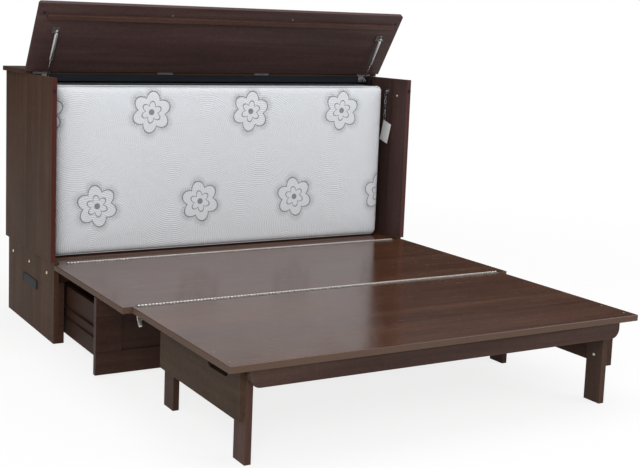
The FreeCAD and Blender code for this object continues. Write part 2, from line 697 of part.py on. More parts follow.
def apron():
    y1 = LEG_REAR_Y - APRON_REAR_STEP
    board = box(LEG_OUTER, LEG_OUTER + APRON_THICKNESS, LEG_FRONT_Y, y1,
                DECK_UNDER - APRON_HEIGHT, DECK_UNDER - REST_GAP)
    center_y = FOOT_FRONT + SLOT_FROM_FRONT
    center_z = DECK_UNDER - SLOT_DROP
    radius = SLOT_HEIGHT / 2
    half = SLOT_LENGTH / 2 - radius
    slot = box(LEG_OUTER - 1, LEG_OUTER + APRON_THICKNESS + 1, center_y - half, center_y + half,
               center_z - radius, center_z + radius)
    for side in (-1, 1):
        y = center_y + side * half
        slot = slot.fuse(rod(FreeCAD.Vector(LEG_OUTER - 1, y, center_z),
                             FreeCAD.Vector(LEG_OUTER + APRON_THICKNESS + 1, y, center_z), radius))
    return eased(board, Y_AXIS).cut(slot)


def leg_hinge(first, pinned):
    return hinge_leaf(LEG_WIDTH - 2 * EASED_EDGE, BUTT_KNUCKLES, first, LEG_HINGE_RADIUS, BUTT_PIN,
                      LEG_HINGE_LEAF, BUTT_SHEET, LEG_HINGE_FACE, pinned)


def leg_hinge_leaves(y_front):
    """Right side: one leaf under the panel, the other down the inner face of the leg."""
    under = leg_hinge(0, True).mirror(ORIGIN, Z_AXIS)
    down = turned(leg_hinge(1, False), ORIGIN, X_AXIS, -90)
    placed = []
    for leaf in (under, down):
        leaf = turned(leaf, ORIGIN, Z_AXIS, 90)
        placed.append(moved(leaf, LEG_AXIS_X, y_front + EASED_EDGE, LEG_AXIS_Z))
    return placed


# ---- drawer -----------------------------------------------------------------------------

def drawer_front():
    """Framed front with sunk fields and a finger scoop in the top edge."""
    back = DRAWER_FACE + DRAWER_FRONT_THICKNESS
    board = box(-BASE_OUTER, BASE_OUTER, DRAWER_FACE, back, DRAWER_FRONT_BOTTOM, DRAWER_FRONT_TOP)
    board = eased(board, X_AXIS)
    z0 = DRAWER_FRONT_BOTTOM + SHAKER_RAIL_BOTTOM
    z1 = DRAWER_FRONT_TOP - SHAKER_RAIL_TOP
    inner = BASE_OUTER - SHAKER_STILE
    half_stile = SHAKER_STILE / 2
    for x0, x1 in ((-inner, -half_stile), (half_stile, inner)):
        board = board.cut(box(x0, x1, DRAWER_FACE - 1, DRAWER_FACE + SHAKER_SINK, z0, z1))
    return board.cut(scoop(DRAWER_FACE - 1, back + 1))


def scoop(y0, y1):
    """Shallow trough with a flat bottom and quarter-round ends, open at the top."""
    low = DRAWER_FRONT_TOP - SCOOP_DEPTH
    half = SCOOP_WIDTH / 2
    trough = box(-half, half, y0, y1, low, DRAWER_FRONT_TOP + SCOOP_DEPTH)
    bottom = [edge for edge in edges_along(trough, Y_AXIS) if edge.CenterOfMass.z < low + 1]
    return trough.makeFillet(SCOOP_DEPTH * 0.8, bottom)


def drawer_side():
    side = box(DRAWER_HALF - DRAWER_BOARD, DRAWER_HALF, DRAWER_BOX_FRONT, DRAWER_BOX_BACK,
               DRAWER_BOX_BOTTOM, DRAWER_BOX_TOP)
    return side.cut(floor_board(SHANK_CLEARANCE))


def drawer_end(y0):
    inner = DRAWER_HALF - DRAWER_BOARD
    board = box(-inner, inner, y0, y0 + DRAWER_BOARD, DRAWER_BOX_BOTTOM, DRAWER_BOX_TOP)
    return board.cut(floor_board(SHANK_CLEARANCE))


def floor_board(extra):
    """Floor panel held in grooves of the four box boards."""
    half = DRAWER_HALF - DRAWER_BOARD + DRAWER_GROOVE + extra
    y0 = DRAWER_BOX_FRONT + DRAWER_BOARD - DRAWER_GROOVE - extra
    y1 = DRAWER_BOX_BACK - DRAWER_BOARD + DRAWER_GROOVE + extra
    z0 = DRAWER_BOX_BOTTOM + DRAWER_FLOOR_RISE - extra
    return box(-half, half, y0, y1, z0, z0 + DRAWER_FLOOR + 2 * extra)


def channel(x_web, x_lip, y0, y1, lip):
    """Open channel along Y: a web and two lips toward x_lip."""
    z0 = RUNNER_BOTTOM + lip
    z1 = RUNNER_BOTTOM + RUNNER_HEIGHT - lip
    low_x, high_x = min(x_web, x_lip), max(x_web, x_lip)
    solid = box(low_x, high_x, y0, y1, z0, z1)
    step = RUNNER_SHEET if x_lip > x_web else -RUNNER_SHEET
    hollow_x = sorted((x_web + step, x_lip + step))
    hollow = box(hollow_x[0], hollow_x[1], y0 - 1, y1 + 1, z0 + RUNNER_SHEET, z1 - RUNNER_SHEET)
    return solid.cut(hollow)


def runner_fixed():
    return channel(POST_INNER, POST_INNER - RUNNER_SPACE + 2.5, FRONT_RAIL_SETBACK / 2,
                   FRONT_RAIL_SETBACK / 2 + DRAWER_DEPTH - 40, 0)


def runner_moving():
    y0 = DRAWER_BOX_FRONT + FRONT_RAIL_SETBACK / 2
    return channel(DRAWER_HALF, DRAWER_HALF + RUNNER_SPACE - 3.0, y0,
                   y0 + DRAWER_DEPTH - 20, RUNNER_SHEET + REST_GAP)


# ---- mattress, chains and tag -----------------------------------------------------------

def section_wire(x, inset, y0):
    """Rounded outline of one mattress section, its large faces crowned."""
    low = DECK_TOP + MATTRESS_LIFT + inset
    high = DECK_TOP + MATTRESS_LIFT + MATTRESS_SECTION - inset
    front = y0 + inset
    back = y0 + MATTRESS_THICKNESS - inset
    r = MATTRESS_CORNER - inset * 0.6
    mid_z = (low + high) / 2
    mid_y = (front + back) / 2
    slant = r * (1 - math.sqrt(0.5))

    def at(y, z):
        return FreeCAD.Vector(x, y, z)

    edges = [Part.makeLine(at(front + r, low), at(back - r, low)),
             Part.Arc(at(back - r, low), at(back - slant, low + slant), at(back, low + r)).toShape(),
             Part.Arc(at(back, low + r), at(back + MATTRESS_CROWN, mid_z), at(back, high - r)).toShape(),
             Part.Arc(at(back, high - r), at(back - slant, high - slant), at(back - r, high)).toShape(),
             Part.Arc(at(back - r, high), at(mid_y, high + MATTRESS_CROWN / 2), at(front + r, high)).toShape(),
             Part.Arc(at(front + r, high), at(front + slant, high - slant), at(front, high - r)).toShape(),
             Part.Arc(at(front, high - r), at(front - MATTRESS_CROWN, mid_z), at(front, low + r)).toShape(),
             Part.Arc(at(front, low + r), at(front + slant, low + slant), at(front + r, low)).toShape()]
    return Part.Wire(edges)


def mattress_section(index):
    y0 = MATTRESS_FRONT + index * MATTRESS_PITCH
    half = MATTRESS_WIDTH / 2
    profile = []
    for degrees in (0, 45, 90):
        angle = math.radians(degrees)
        x = half - MATTRESS_END_ROUND * (1 - math.cos(angle))
        profile.append((x, MATTRESS_END_ROUND * (1 - math.sin(angle))))
    ordered = [(-x, inset) for x, inset in profile] + [(x, inset) for x, inset in reversed(profile)]
    wires = [section_wire(x + MATTRESS_SHIFT, inset, y0) for x, inset in ordered]
    return Part.makeLoft(wires, True, True)


def wire_ring(bend, straight, wire, steps):
    """Closed wire in the XZ plane: two half rounds of radius bend, in straight steps, joined by straights."""
    rows = []
    for index in range(2 * steps + 2):
        lower = index > steps
        angle = math.pi * (index - lower) / steps
        out = FreeCAD.Vector(math.cos(angle), 0, math.sin(angle))
        middle = out * bend + Z_AXIS * (-straight if lower else straight)
        rows.append([middle + out * (wire * math.cos(math.radians(turn))) +
                     Y_AXIS * (wire * math.sin(math.radians(turn))) for turn in range(0, 360, 60)])
    faces = []
    for index in range(len(rows)):
        for side in range(6):
            corners = [rows[index - 1][side - 1], rows[index - 1][side], rows[index][side], rows[index][side - 1]]
            if corners[0].sub(corners[3]).Length > 0.001:
                faces.append(Part.Face(Part.makePolygon(corners + [corners[0]])))
    return Part.Solid(Part.Shell(faces))


def link(center_z, turn):
    ring = wire_ring(LINK_BEND, LINK_STRAIGHT, LINK_WIRE, 4)
    return moved(turned(ring, ORIGIN, Z_AXIS, 90 + turn), CHAIN_X, CHAIN_Y, center_z)


def chain():
    first = CHAIN_Z - LINK_STRAIGHT
    return [link(first - index * LINK_PITCH, 90 * (index % 2)) for index in range(CHAIN_LINKS)]


def chain_end():
    """Height of the inner end of the lowest link."""
    return CHAIN_Z - 2 * LINK_STRAIGHT - (CHAIN_LINKS - 1) * LINK_PITCH - LINK_BEND + LINK_WIRE


def tag():
    """Card hung by a wire loop from the last link of the right chain."""
    hang = chain_end() + TAG_WIRE + REST_GAP - TAG_LOOP
    card = box(-TAG_THICKNESS / 2, TAG_THICKNESS / 2, -TAG_WIDTH + TAG_HOLE_INSET, TAG_HOLE_INSET,
               -TAG_HEIGHT + TAG_HOLE_INSET, TAG_HOLE_INSET)
    card = eased(card, X_AXIS, 3.0)
    card = card.cut(bore(FreeCAD.Vector(-1, 0, 0), FreeCAD.Vector(1, 0, 0), TAG_HOLE))
    card = turned(card, ORIGIN, X_AXIS, -TAG_TILT)
    loop = wire_ring(TAG_LOOP, 0, TAG_WIRE, 6)
    low = hang - TAG_LOOP - (TAG_HOLE - TAG_WIRE - REST_GAP)
    return [moved(card, CHAIN_X, CHAIN_Y, low), moved(loop, CHAIN_X, CHAIN_Y, hang)]


# ---- all pieces -------------------------------------------------------------------------

def cabinet_nodes(nodes):
    nodes["base_side_right"] = [base_side()]
    nodes["base_side_left"] = [mirrored(base_side())]
    nodes["base_posts"] = both_sides(base_post())
    nodes["runner_battens"] = both_sides(runner_batten())
    nodes["base_back"] = [box(-BASE_INNER, BASE_INNER, BASE_BACK_FRONT, CABINET_DEPTH, 0, DECK_UNDER)]
    nodes["deck_cleats"] = both_sides(deck_cleat())
    nodes["deck_front_rail"] = [front_rail()]
    nodes["fixed_deck"] = [fixed_deck()]
    nodes["upper_side_right"] = [upper_side()]
    nodes["upper_side_left"] = [mirrored(upper_side())]
    nodes["back_panel"] = [back_panel()]
    nodes["rear_top"] = [rear_top()]
    nodes["top_rail"] = [top_rail()]
    bolts = [side_bolt(y) for y in BOLT_Y]
    nodes["side_bolts"] = bolts + [mirrored(bolt) for bolt in bolts]
    nodes["front_bumpers"] = both_sides(front_bumper())
    nodes["chain_anchors"] = both_sides(chain_anchor())
    nodes["socket_panel"] = socket_panel()
    nodes["strut_brackets"] = both_sides(strut_bracket())
    nodes["drawer_runners_fixed"] = both_sides(runner_fixed())


def lid_nodes(nodes):
    leaves = [lid_hinge_leaves(center) for center in LID_HINGE_PLACES]
    nodes["lid_hinge_fixed"] = [pair[0] for pair in leaves]
    nodes["lid_hinge_moving"] = [opened(pair[1]) for pair in leaves]
    nodes["lid_panel"] = [opened(lid_panel())]
    nodes["lid_batten"] = [opened(lid_batten())]
    nodes["lid_bumpers"] = [opened(piece) for piece in both_sides(lid_bumper())]
    nodes["lid_studs"] = [opened(piece) for piece in both_sides(lid_stud())]
    nodes["strut_rod_right"] = [strut_rod()]
    nodes["strut_rod_left"] = [mirrored(strut_rod())]
    nodes["strut_barrel_right"] = [strut_barrel()]
    nodes["strut_barrel_left"] = [mirrored(strut_barrel())]


def deck_nodes(nodes):
    rear, front = piano_pair(DECK_AXIS_Y)
    nodes["deck_hinge_fixed"] = [rear]
    nodes["deck_hinge_moving"] = [front]
    nodes["middle_panel"] = [middle_panel()]
    nodes["pulls"] = both_sides(pull())
    rear, front = piano_pair(FOOT_AXIS_Y)
    nodes["foot_hinge_rear"] = [rear]
    nodes["foot_hinge_front"] = [front]
    nodes["foot_panel"] = [foot_panel()]
    nodes["foot_rail"] = [foot_rail()]
    nodes["closing_hooks"] = both_sides(closing_hook())


def leg_nodes(nodes):
    fronts = (LEG_FRONT_Y, LEG_REAR_Y - LEG_WIDTH)
    pairs = [leg_hinge_leaves(y) for y in fronts]
    under = [pair[0] for pair in pairs]
    down = [pair[1] for pair in pairs]
    nodes["leg_hinges_fixed"] = under + [mirrored(leaf) for leaf in under]
    nodes["leg_hinges_right"] = down
    nodes["leg_hinges_left"] = [mirrored(leaf) for leaf in down]
    nodes["apron_right"] = [apron()]
    nodes["apron_left"] = [mirrored(apron())]
    for name, y in zip(("front", "rear"), fronts):
        nodes["leg_%s_right" % name] = [leg(y)]
        nodes["leg_%s_left" % name] = [mirrored(leg(y))]


def drawer_nodes(nodes):
    nodes["drawer_front"] = [drawer_front()]
    nodes["drawer_side_right"] = [drawer_side()]
    nodes["drawer_side_left"] = [mirrored(drawer_side())]
    nodes["drawer_box_ends"] = [drawer_end(DRAWER_BOX_FRONT), drawer_end(DRAWER_BOX_BACK - DRAWER_BOARD)]
    nodes["drawer_floor"] = [floor_board(0)]
    nodes["drawer_runners_moving"] = both_sides(runner_moving())


def soft_nodes(nodes):
    for index, name in enumerate(("front", "middle", "rear")):
        nodes["mattress_" + name] = [mattress_section(index)]
    nodes["chain_right"] = chain()
    nodes["chain_left"] = [mirrored(piece) for piece in chain()]
    nodes["chain_tag"] = tag()


nodes = {}
cabinet_nodes(nodes)
lid_nodes(nodes)
deck_nodes(nodes)
leg_nodes(nodes)
drawer_nodes(nodes)
soft_nodes(nodes)

os.makedirs("parts", exist_ok=True)
for name in sorted(nodes):
    shape = nodes[name][0] if len(nodes[name]) == 1 else Part.makeCompound(nodes[name])
    moved(shape, 0, SHIFT_Y, 0).exportStep("parts/" + name + ".step")
print(len(nodes), "nodes, shift", SHIFT_Y)
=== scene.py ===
import json
import math

import bmesh
import bpy
import numpy as np
from mathutils import Matrix, Vector


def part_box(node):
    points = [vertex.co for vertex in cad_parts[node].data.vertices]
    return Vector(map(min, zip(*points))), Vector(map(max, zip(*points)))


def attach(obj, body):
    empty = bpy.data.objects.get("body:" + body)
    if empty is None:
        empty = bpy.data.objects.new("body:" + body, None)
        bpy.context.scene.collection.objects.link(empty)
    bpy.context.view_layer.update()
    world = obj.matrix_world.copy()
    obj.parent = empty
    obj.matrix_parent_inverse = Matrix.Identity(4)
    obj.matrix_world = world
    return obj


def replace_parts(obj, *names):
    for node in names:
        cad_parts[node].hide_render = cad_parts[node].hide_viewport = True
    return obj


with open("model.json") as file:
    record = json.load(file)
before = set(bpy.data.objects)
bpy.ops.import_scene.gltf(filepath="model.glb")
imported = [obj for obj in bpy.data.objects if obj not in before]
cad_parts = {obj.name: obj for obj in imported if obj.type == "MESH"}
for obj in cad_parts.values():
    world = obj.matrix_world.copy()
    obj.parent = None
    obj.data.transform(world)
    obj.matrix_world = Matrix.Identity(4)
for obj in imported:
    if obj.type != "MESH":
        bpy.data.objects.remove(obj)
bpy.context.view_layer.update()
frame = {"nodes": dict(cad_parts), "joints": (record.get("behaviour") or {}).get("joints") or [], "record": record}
nodes = frame["nodes"]
joints = {joint["name"]: joint for joint in frame["joints"]}
scene = bpy.context.scene
print("frame loaded:", len(nodes), "nodes")


def addObject(name, data):
    made = bpy.data.objects.new(name, data)
    scene.collection.objects.link(made)
    return made


# Camera and lamps

imageSize = {"wide": 640, "high": 468}
cameraSettings = {
    "place": (-2.14693, -3.63147, 1.23635),
    "yaw": 27.95,        # degrees from +Y toward +X
    "pitch": 7.39,       # degrees down
    "roll": 1.79,
    "focalPixels": 1121.75,
    "centre": (241.56, 170.77),   # pixel that the lens axis meets
    "sensor": 36,
    "clip": (0.05, 100),
}
lampSettings = [
    {"name": "key", "place": (-3.4, -4.8, 2.9), "aim": (0.0, 0.1, 0.5), "size": 2.8, "watts": 160},
    {"name": "fill", "place": (3.9, -3.6, 2.7), "aim": (0.0, 0.1, 0.5), "size": 3.2, "watts": 70},
    {"name": "top", "place": (0.2, -0.3, 4.2), "aim": (0.0, 0.0, 0.4), "size": 3.2, "watts": 60},
]


def makeCamera():
    yaw, pitch, roll = (math.radians(cameraSettings[key]) for key in ("yaw", "pitch", "roll"))
    ahead = Vector((math.sin(yaw) * math.cos(pitch), math.cos(yaw) * math.cos(pitch), -math.sin(pitch)))
    right = Vector((math.cos(yaw), -math.sin(yaw), 0))
    up = right.cross(ahead)
    turnedRight = right * math.cos(roll) + up * math.sin(roll)
    turnedUp = up * math.cos(roll) - right * math.sin(roll)
    wide, high = imageSize["wide"], imageSize["high"]
    across, down = cameraSettings["centre"]
    data = bpy.data.cameras.new("camera")
    data.sensor_width = cameraSettings["sensor"]
    data.lens = cameraSettings["focalPixels"] / wide * data.sensor_width
    data.shift_x, data.shift_y = (wide / 2 - across) / wide, (down - high / 2) / wide
    data.clip_start, data.clip_end = cameraSettings["clip"]
    scene.camera = addObject("camera", data)
    columns = Matrix((turnedRight, turnedUp, -ahead)).transposed()
    scene.camera.matrix_world = Matrix.Translation(cameraSettings["place"]) @ columns.to_4x4()


def makeLamps():
    for lamp in lampSettings:
        data = bpy.data.lights.new(lamp["name"], "AREA")
        data.shape = "DISK"
        data.size, data.energy = lamp["size"], lamp["watts"]
        light = addObject(lamp["name"], data)
        light.location = lamp["place"]
        toward = Vector(lamp["aim"]) - Vector(lamp["place"])
        light.rotation_euler = toward.to_track_quat("-Z", "Y").to_euler()


scene.view_settings.view_transform = "Standard"
makeCamera()
makeLamps()
print("camera and lamps made")


# Shader sockets as Python values

class Value:
    # A socket of a shader tree. Arithmetic on it adds Math nodes to that tree.
    def __init__(self, tree, socket):
        self.tree = tree
        self.socket = socket

    def maths(self, operation, *others, clamp=False):
        settings = {"operation": operation, "use_clamp": clamp}
        return self.tree.node("ShaderNodeMath", settings, dict(enumerate((self,) + others)))[0]

    def __add__(self, other):
        return self.maths("ADD", other)

    def __sub__(self, other):
        return self.maths("SUBTRACT", other)

    def __rsub__(self, other):
        number = self.tree.node("ShaderNodeValue")
        number.made.outputs[0].default_value = other
        return number[0].maths("SUBTRACT", self)

    def __mul__(self, other):
        return self.maths("MULTIPLY", other)

    def __truediv__(self, other):
        return self.maths("DIVIDE", other)

    __radd__ = __add__
    __rmul__ = __mul__

    def clamped(self):
        return self.maths("ADD", 0.0, clamp=True)

    def least(self, other):
        return self.maths("MINIMUM", other)

    def most(self, other):
        return self.maths("MAXIMUM", other)

    def size(self):
        return self.maths("ABSOLUTE")

    def wave(self, length):
        # sine that repeats after this length
        return (self * (2 * math.pi / length)).maths("SINE")

    def fade(self, start, end):
        # 0 before start, 1 after end, a straight ramp between, clamped
        span = {0: self, 1: start, 2: end, 3: 0.0, 4: 1.0}
        return self.tree.node("ShaderNodeMapRange", {"clamp": True}, span)[0]


class Outputs:
    # The outputs of one node, each by name or number, as a Value
    def __init__(self, tree, made):
        self.tree = tree
        self.made = made

    def __getitem__(self, key):
        return Value(self.tree, self.made.outputs[key])


class ShaderTree:
    # The nodes of a material or a world. node() adds any node: its settings first, then its sockets.
    def __init__(self, owner):
        owner.use_nodes = True
        self.nodeTree = owner.node_tree
        self.nodeTree.nodes.clear()

    def feed(self, socket, value):
        if isinstance(value, Value):
            self.nodeTree.links.new(value.socket, socket)
        elif isinstance(value, (tuple, list)) and len(socket.default_value) == 4 and len(value) == 3:
            socket.default_value = (*value, 1.0)
        else:
            socket.default_value = value

    def node(self, kind, settings=None, inputs=None):
        made = self.nodeTree.nodes.new(kind)
        for key, value in (settings or {}).items():
            if key == "stops":
                self.setStops(made.color_ramp, value)
            else:
                setattr(made, key, value)
        for key, value in (inputs or {}).items():
            self.feed(made.inputs[key], value)
        return Outputs(self, made)

    def setStops(self, ramp, stops):
        while len(ramp.elements) < len(stops):
            ramp.elements.new(0.5)
        for element, (position, colour) in zip(ramp.elements, stops):
            element.position = position
            element.color = (*colour, 1.0)

    def seen(self):
        # 1 for rays from the camera, from a mirror and through glass, 0 for the light on the object
        rays = self.node("ShaderNodeLightPath")
        return rays["Is Camera Ray"].most(rays["Is Glossy Ray"]).most(rays["Is Transmission Ray"])


class Finish(ShaderTree):
    # One material with a Principled shader
    def __init__(self, name, constants):
        self.material = bpy.data.materials.new(name)
        super().__init__(self.material)
        self.shader = self.node("ShaderNodeBsdfPrincipled", {}, constants)
        self.output = self.node("ShaderNodeOutputMaterial", {}, {"Surface": self.shader[0]})
        self.place = self.node("ShaderNodeTexCoord")["Object"]

    def show(self, surface):
        self.feed(self.output.made.inputs["Surface"], surface)

    def look(self, colour, rough, normal):
        for key, value in (("Base Color", colour), ("Roughness", rough), ("Normal", normal)):
            self.feed(self.shader.made.inputs[key], value)
        return self.material

    def mixColour(self, factor, first, second):
        return self.node("ShaderNodeMix", {"data_type": "RGBA"}, {0: factor, 6: first, 7: second})[2]

    def ramp(self, factor, stops):
        return self.node("ShaderNodeValToRGB", {"stops": stops}, {"Fac": factor})["Color"]

    def stretched(self, scale, shift=(0, 0, 0), on=None):
        inputs = {"Vector": on or self.place, "Location": shift, "Scale": scale}
        return self.node("ShaderNodeMapping", {}, inputs)["Vector"]

    def noise(self, scale, detail, roughness, distortion=0.0, on=None):
        inputs = {"Vector": on or self.place, "Scale": scale, "Detail": detail, "Roughness": roughness,
                  "Distortion": distortion}
        return self.node("ShaderNodeTexNoise", {}, inputs)["Fac"]

    def split(self, on=None):
        parts = self.node("ShaderNodeSeparateXYZ", {}, {0: on or self.place})
        return parts["X"], parts["Y"], parts["Z"]

    def bump(self, height, distance, strength, under=None):
        inputs = {"Height": height, "Distance": distance, "Strength": strength}
        if under is not None:
            inputs["Normal"] = under
        return self.node("ShaderNodeBump", {}, inputs)["Normal"]


# Meshes from arrays

class Shape:
    # Corner points and faces as arrays. Shapes add up to one mesh.
    def __init__(self, points, quads, triangles=None):
        self.points = np.asarray(points, float).reshape(-1, 3)
        self.quads = np.asarray(quads, int).reshape(-1, 4)
        self.triangles = np.zeros((0, 3), int) if triangles is None else np.asarray(triangles, int)

    def __add__(self, other):
        shift = len(self.points)
        return Shape(np.vstack([self.points, other.points]), np.vstack([self.quads, other.quads + shift]),
                     np.vstack([self.triangles, other.triangles + shift]))

    def placed(self, matrix, at=(0, 0, 0)):
        points = self.points @ np.asarray(matrix, float).T + np.asarray(at, float)
        return Shape(points, self.quads, self.triangles)

    def repeated(self, places):
        # the same shape at each place, as one set of arrays
        places = np.asarray(places, float).reshape(-1, 3)
        count, size = len(places), len(self.points)
        points = (self.points[None] + places[:, None]).reshape(-1, 3)
        steps = (np.arange(count) * size)[:, None, None]
        return Shape(points, (self.quads[None] + steps).reshape(-1, 4),
                     (self.triangles[None] + steps).reshape(-1, 3))


def joined(shapes):
    return sum(shapes[1:], shapes[0])


def meshOf(name, shape, material):
    mesh = bpy.data.meshes.new(name)
    mesh.from_pydata(shape.points.tolist(), [], shape.quads.tolist() + shape.triangles.tolist())
    mesh.materials.append(material)
    return mesh


def pointsOf(mesh):
    points = np.zeros(len(mesh.vertices) * 3)
    mesh.vertices.foreach_get("co", points)
    return points.reshape(-1, 3)


pieceSettings = {"weld": 1e-6, "sharp": math.radians(38)}


def makePiece(name, shape, material, body, weld=False):
    mesh = meshOf(name, shape, material)
    if weld:
        work = bmesh.new()
        work.from_mesh(mesh)
        bmesh.ops.remove_doubles(work, verts=work.verts, dist=pieceSettings["weld"])
        bmesh.ops.recalc_face_normals(work, faces=work.faces)
        work.to_mesh(mesh)
        work.free()
    mesh.polygons.foreach_set("use_smooth", [True] * len(mesh.polygons))
    mesh.set_sharp_from_angle(angle=pieceSettings["sharp"])
    piece = addObject(name, mesh)
    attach(piece, body)
    return piece


def gridQuads(rows, columns, closeRows=False, closeColumns=False):
    # quads between neighbours of a rows x columns grid of points
    row = np.arange(rows if closeRows else rows - 1)[:, None]
    column = np.arange(columns if closeColumns else columns - 1)[None]
    nextRow, nextColumn = (row + 1) % rows, (column + 1) % columns
    return np.stack([row * columns + column, row * columns + nextColumn,
                     nextRow * columns + nextColumn, nextRow * columns + column], -1).reshape(-1, 4)


def fan(pole, ring):
    # triangles from one point to each side of a closed ring of points
    return np.stack([np.full(len(ring), pole), ring, np.roll(ring, -1)], -1)


def circle(count):
    angle = np.linspace(0, 2 * np.pi, count, endpoint=False)
    return np.cos(angle), np.sin(angle)


def lathe(profile, sides):
    # profile of (height, radius) turned about Z; its first and last point lie on the axis, as poles
    height, radius = np.asarray(profile, float).T[:, :, None]
    cos, sin = circle(sides)
    rings = np.stack([radius * cos, radius * sin, height + 0 * cos], -1)[1:-1].reshape(-1, 3)
    points = np.vstack([rings, [[0, 0, height[0, 0]], [0, 0, height[-1, 0]]]])
    ring = np.arange(sides)
    ends = [fan(len(rings), ring)[:, ::-1], fan(len(rings) + 1, ring + len(rings) - sides)]
    return Shape(points, gridQuads(len(profile) - 2, sides, closeColumns=True), np.vstack(ends))


def tube(path, radius, sides):
    # circle of the radius carried along a closed path that lies across Y
    path = np.asarray(path, float)
    along = np.roll(path, -1, 0) - np.roll(path, 1, 0)
    across = np.broadcast_to([0.0, 1.0, 0.0], along.shape)
    out = np.cross(across, along)
    out /= np.linalg.norm(out, axis=1, keepdims=True)
    cos, sin = (part[None, :, None] for part in circle(sides))
    points = path[:, None] + radius * (cos * out[:, None] + sin * across[:, None])
    return Shape(points, gridQuads(len(path), sides, closeRows=True, closeColumns=True))


def turnTo(direction):
    # rotation that takes +Z to the direction
    return np.array(Vector(direction).to_track_quat("Z", "Y").to_matrix())


# rings as shares of the radius; depths as shares of the height; cross and socket reach out to their share
screwShape = {
    "sides": 24, "rings": [0.0, 0.22, 0.42, 0.62, 0.86, 1.0], "dome": 0.35,
    "cross": (0.75, 0.5), "socket": (0.3, 0.3),
}


def screwHead(radius, height):
    # dome of rings about the axis: lower by the square of the way out, and in a cross near the middle
    sides, dome = screwShape["sides"], screwShape["dome"]
    share = np.array(screwShape["rings"])[:, None]
    cos, sin = circle(sides)
    (crossDeep, crossReach), (socketDeep, socketReach) = screwShape["cross"], screwShape["socket"]
    cross = np.clip(1.25 * np.abs(cos ** 2 - sin ** 2) - 0.62, 0, 1) * (share < crossReach)
    level = height * (1 - dome * share ** 2 - crossDeep * cross - socketDeep * (share < socketReach))
    level[-1] = 0.0
    rings = np.stack([radius * share * cos, radius * share * sin, level], -1)[1:].reshape(-1, 3)
    points = np.vstack([rings, [[0, 0, level[0, 0]], [0, 0, 0]]])
    ring = np.arange(sides)
    ends = [fan(len(rings), ring), fan(len(rings) + 1, ring + len(rings) - sides)[:, ::-1]]
    return Shape(points, gridQuads(len(share) - 1, sides, closeColumns=True)[:, ::-1], np.vstack(ends))


def groupMiddles(points, gap):
    # middle of the box round each group of points, split wherever Y leaves a gap
    order = points[np.argsort(points[:, 1])]
    groups = np.split(order, np.nonzero(np.diff(order[:, 1]) > gap)[0] + 1)
    return np.array([(group.min(0) + group.max(0)) / 2 for group in groups])


# Wood finishes

woodColours = {
    "dark": (0.030, 0.0142, 0.0098),
    "mid": (0.047, 0.0232, 0.0158),
    "light": (0.066, 0.0335, 0.0225),
    "deckDark": (0.044, 0.0165, 0.0085),
    "deckMid": (0.074, 0.0292, 0.0145),
    "deckLight": (0.108, 0.0450, 0.0225),
    "deckEdge": (0.072, 0.0370, 0.0205),
    # painted shade: near-black blue on the inner face of the back panel, standing in for the deep shade behind the
    # mattress
    "insideNavy": (0.0060, 0.0095, 0.0145),
    "rubbed": (0.120, 0.050, 0.034),        # stain worn thin along the arrises
    "frontEdge": (0.062, 0.0175, 0.0160),   # redder stain on the front edges of the sides
    "joint": (0.004, 0.003, 0.003),
}
# noise scale along the grain and across it
woodGrain = {"streaks": (1.3, 26.0), "pores": (14.0, 520.0), "clouds": (1.1, 3.4), "mottle": 75.0}
plainWood = {
    "shades": ("dark", "mid", "light"), "ior": 1.4, "wear": 0.40, "rough": 0.36, "handled": 0.16,
    "bump": 0.00025,
}
deckWood = {
    "shades": ("deckDark", "deckMid", "deckLight"), "ior": 1.5, "wear": 0.12, "rough": 0.10, "handled": 0.12,
    "bump": 0.00010,
}
drawerFrame = {"stile": 0.097, "topRail": 0.071, "bottomRail": 0.081, "line": 0.0016, "ending": 0.001}
# how far from an arris or a face a colour reaches
edgeBands = {
    "rubbed": 0.0030, "frontEdge": 0.0012, "insideNavy": 0.002, "polish": 0.0015, "polishEnding": 0.0010,
}
# grain axis of each board; the rest follow their longest side
boardGrain = {
    "base_side_right": "Z", "base_side_left": "Z", "upper_side_right": "Z", "upper_side_left": "Z",
    "fixed_deck": "X", "middle_panel": "X", "foot_panel": "X", "back_panel": "X",
}
drawerGrain = {
    "drawer_side_right": "Y", "drawer_side_left": "Y", "drawer_box_ends": "X", "drawer_floor": "X",
}
polishedBoards = ("fixed_deck", "middle_panel", "foot_panel")
lidBoards = ("lid_panel", "lid_batten")
# how much each board mirrors
plainSheen, deckSheen = 0.12, 0.5
boardSheen = {
    "upper_side_left": 0.03, "base_side_left": 0.03, "apron_left": 0.05, "upper_side_right": 0.25,
    "rear_top": 0.05, "lid_panel": 0.2,
}
# colour scale of each board: partly the board's own tone, partly painted light, each scaled to how the board looks
# under its light
boardToneAndPaintedLight = {
    "upper_side_left": (1.42, 1.55, 1.45), "base_side_left": (1.42, 1.55, 1.45),
    "upper_side_right": (1.35, 1.55, 2.00), "rear_top": (1.10, 1.30, 1.35),
    "lid_panel": (1.15, 1.35, 1.85), "lid_batten": (1.60, 1.75, 2.10),
    "leg_front_left": (1.40, 1.45, 1.60), "leg_front_right": (1.10, 1.30, 1.40),
    "foot_rail": (1.05, 1.20, 1.40), "apron_left": (1.10, 1.40, 1.35), "drawer_front": (0.85, 0.85, 0.90),
}
lidTurn = {
    "centre": tuple(joints["lid_hinge"]["pos_m"]),
    "angle": math.radians(joints["lid_hinge"]["range_deg"][1]),
}


def grained(grain, along, across):
    return tuple(along if axis == grain else across for axis in "XYZ")


def turnedLid(points, sign):
    # places turned about the lid's hinge: sign 1 closes the open lid, -1 opens the closed one
    centre = np.array(lidTurn["centre"])
    turn = np.array(Matrix.Rotation(sign * lidTurn["angle"], 3, "X"))
    return (np.asarray(points, float) - centre) @ turn.T + centre


def boardLimits(name):
    # lowest and highest corner of a board; a lid board's are taken with the lid closed
    low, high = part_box(name)
    if name in lidBoards:
        points = turnedLid(pointsOf(nodes[name].data), 1)
        low, high = points.min(0), points.max(0)
    return [float(value) for value in low], [float(value) for value in high]


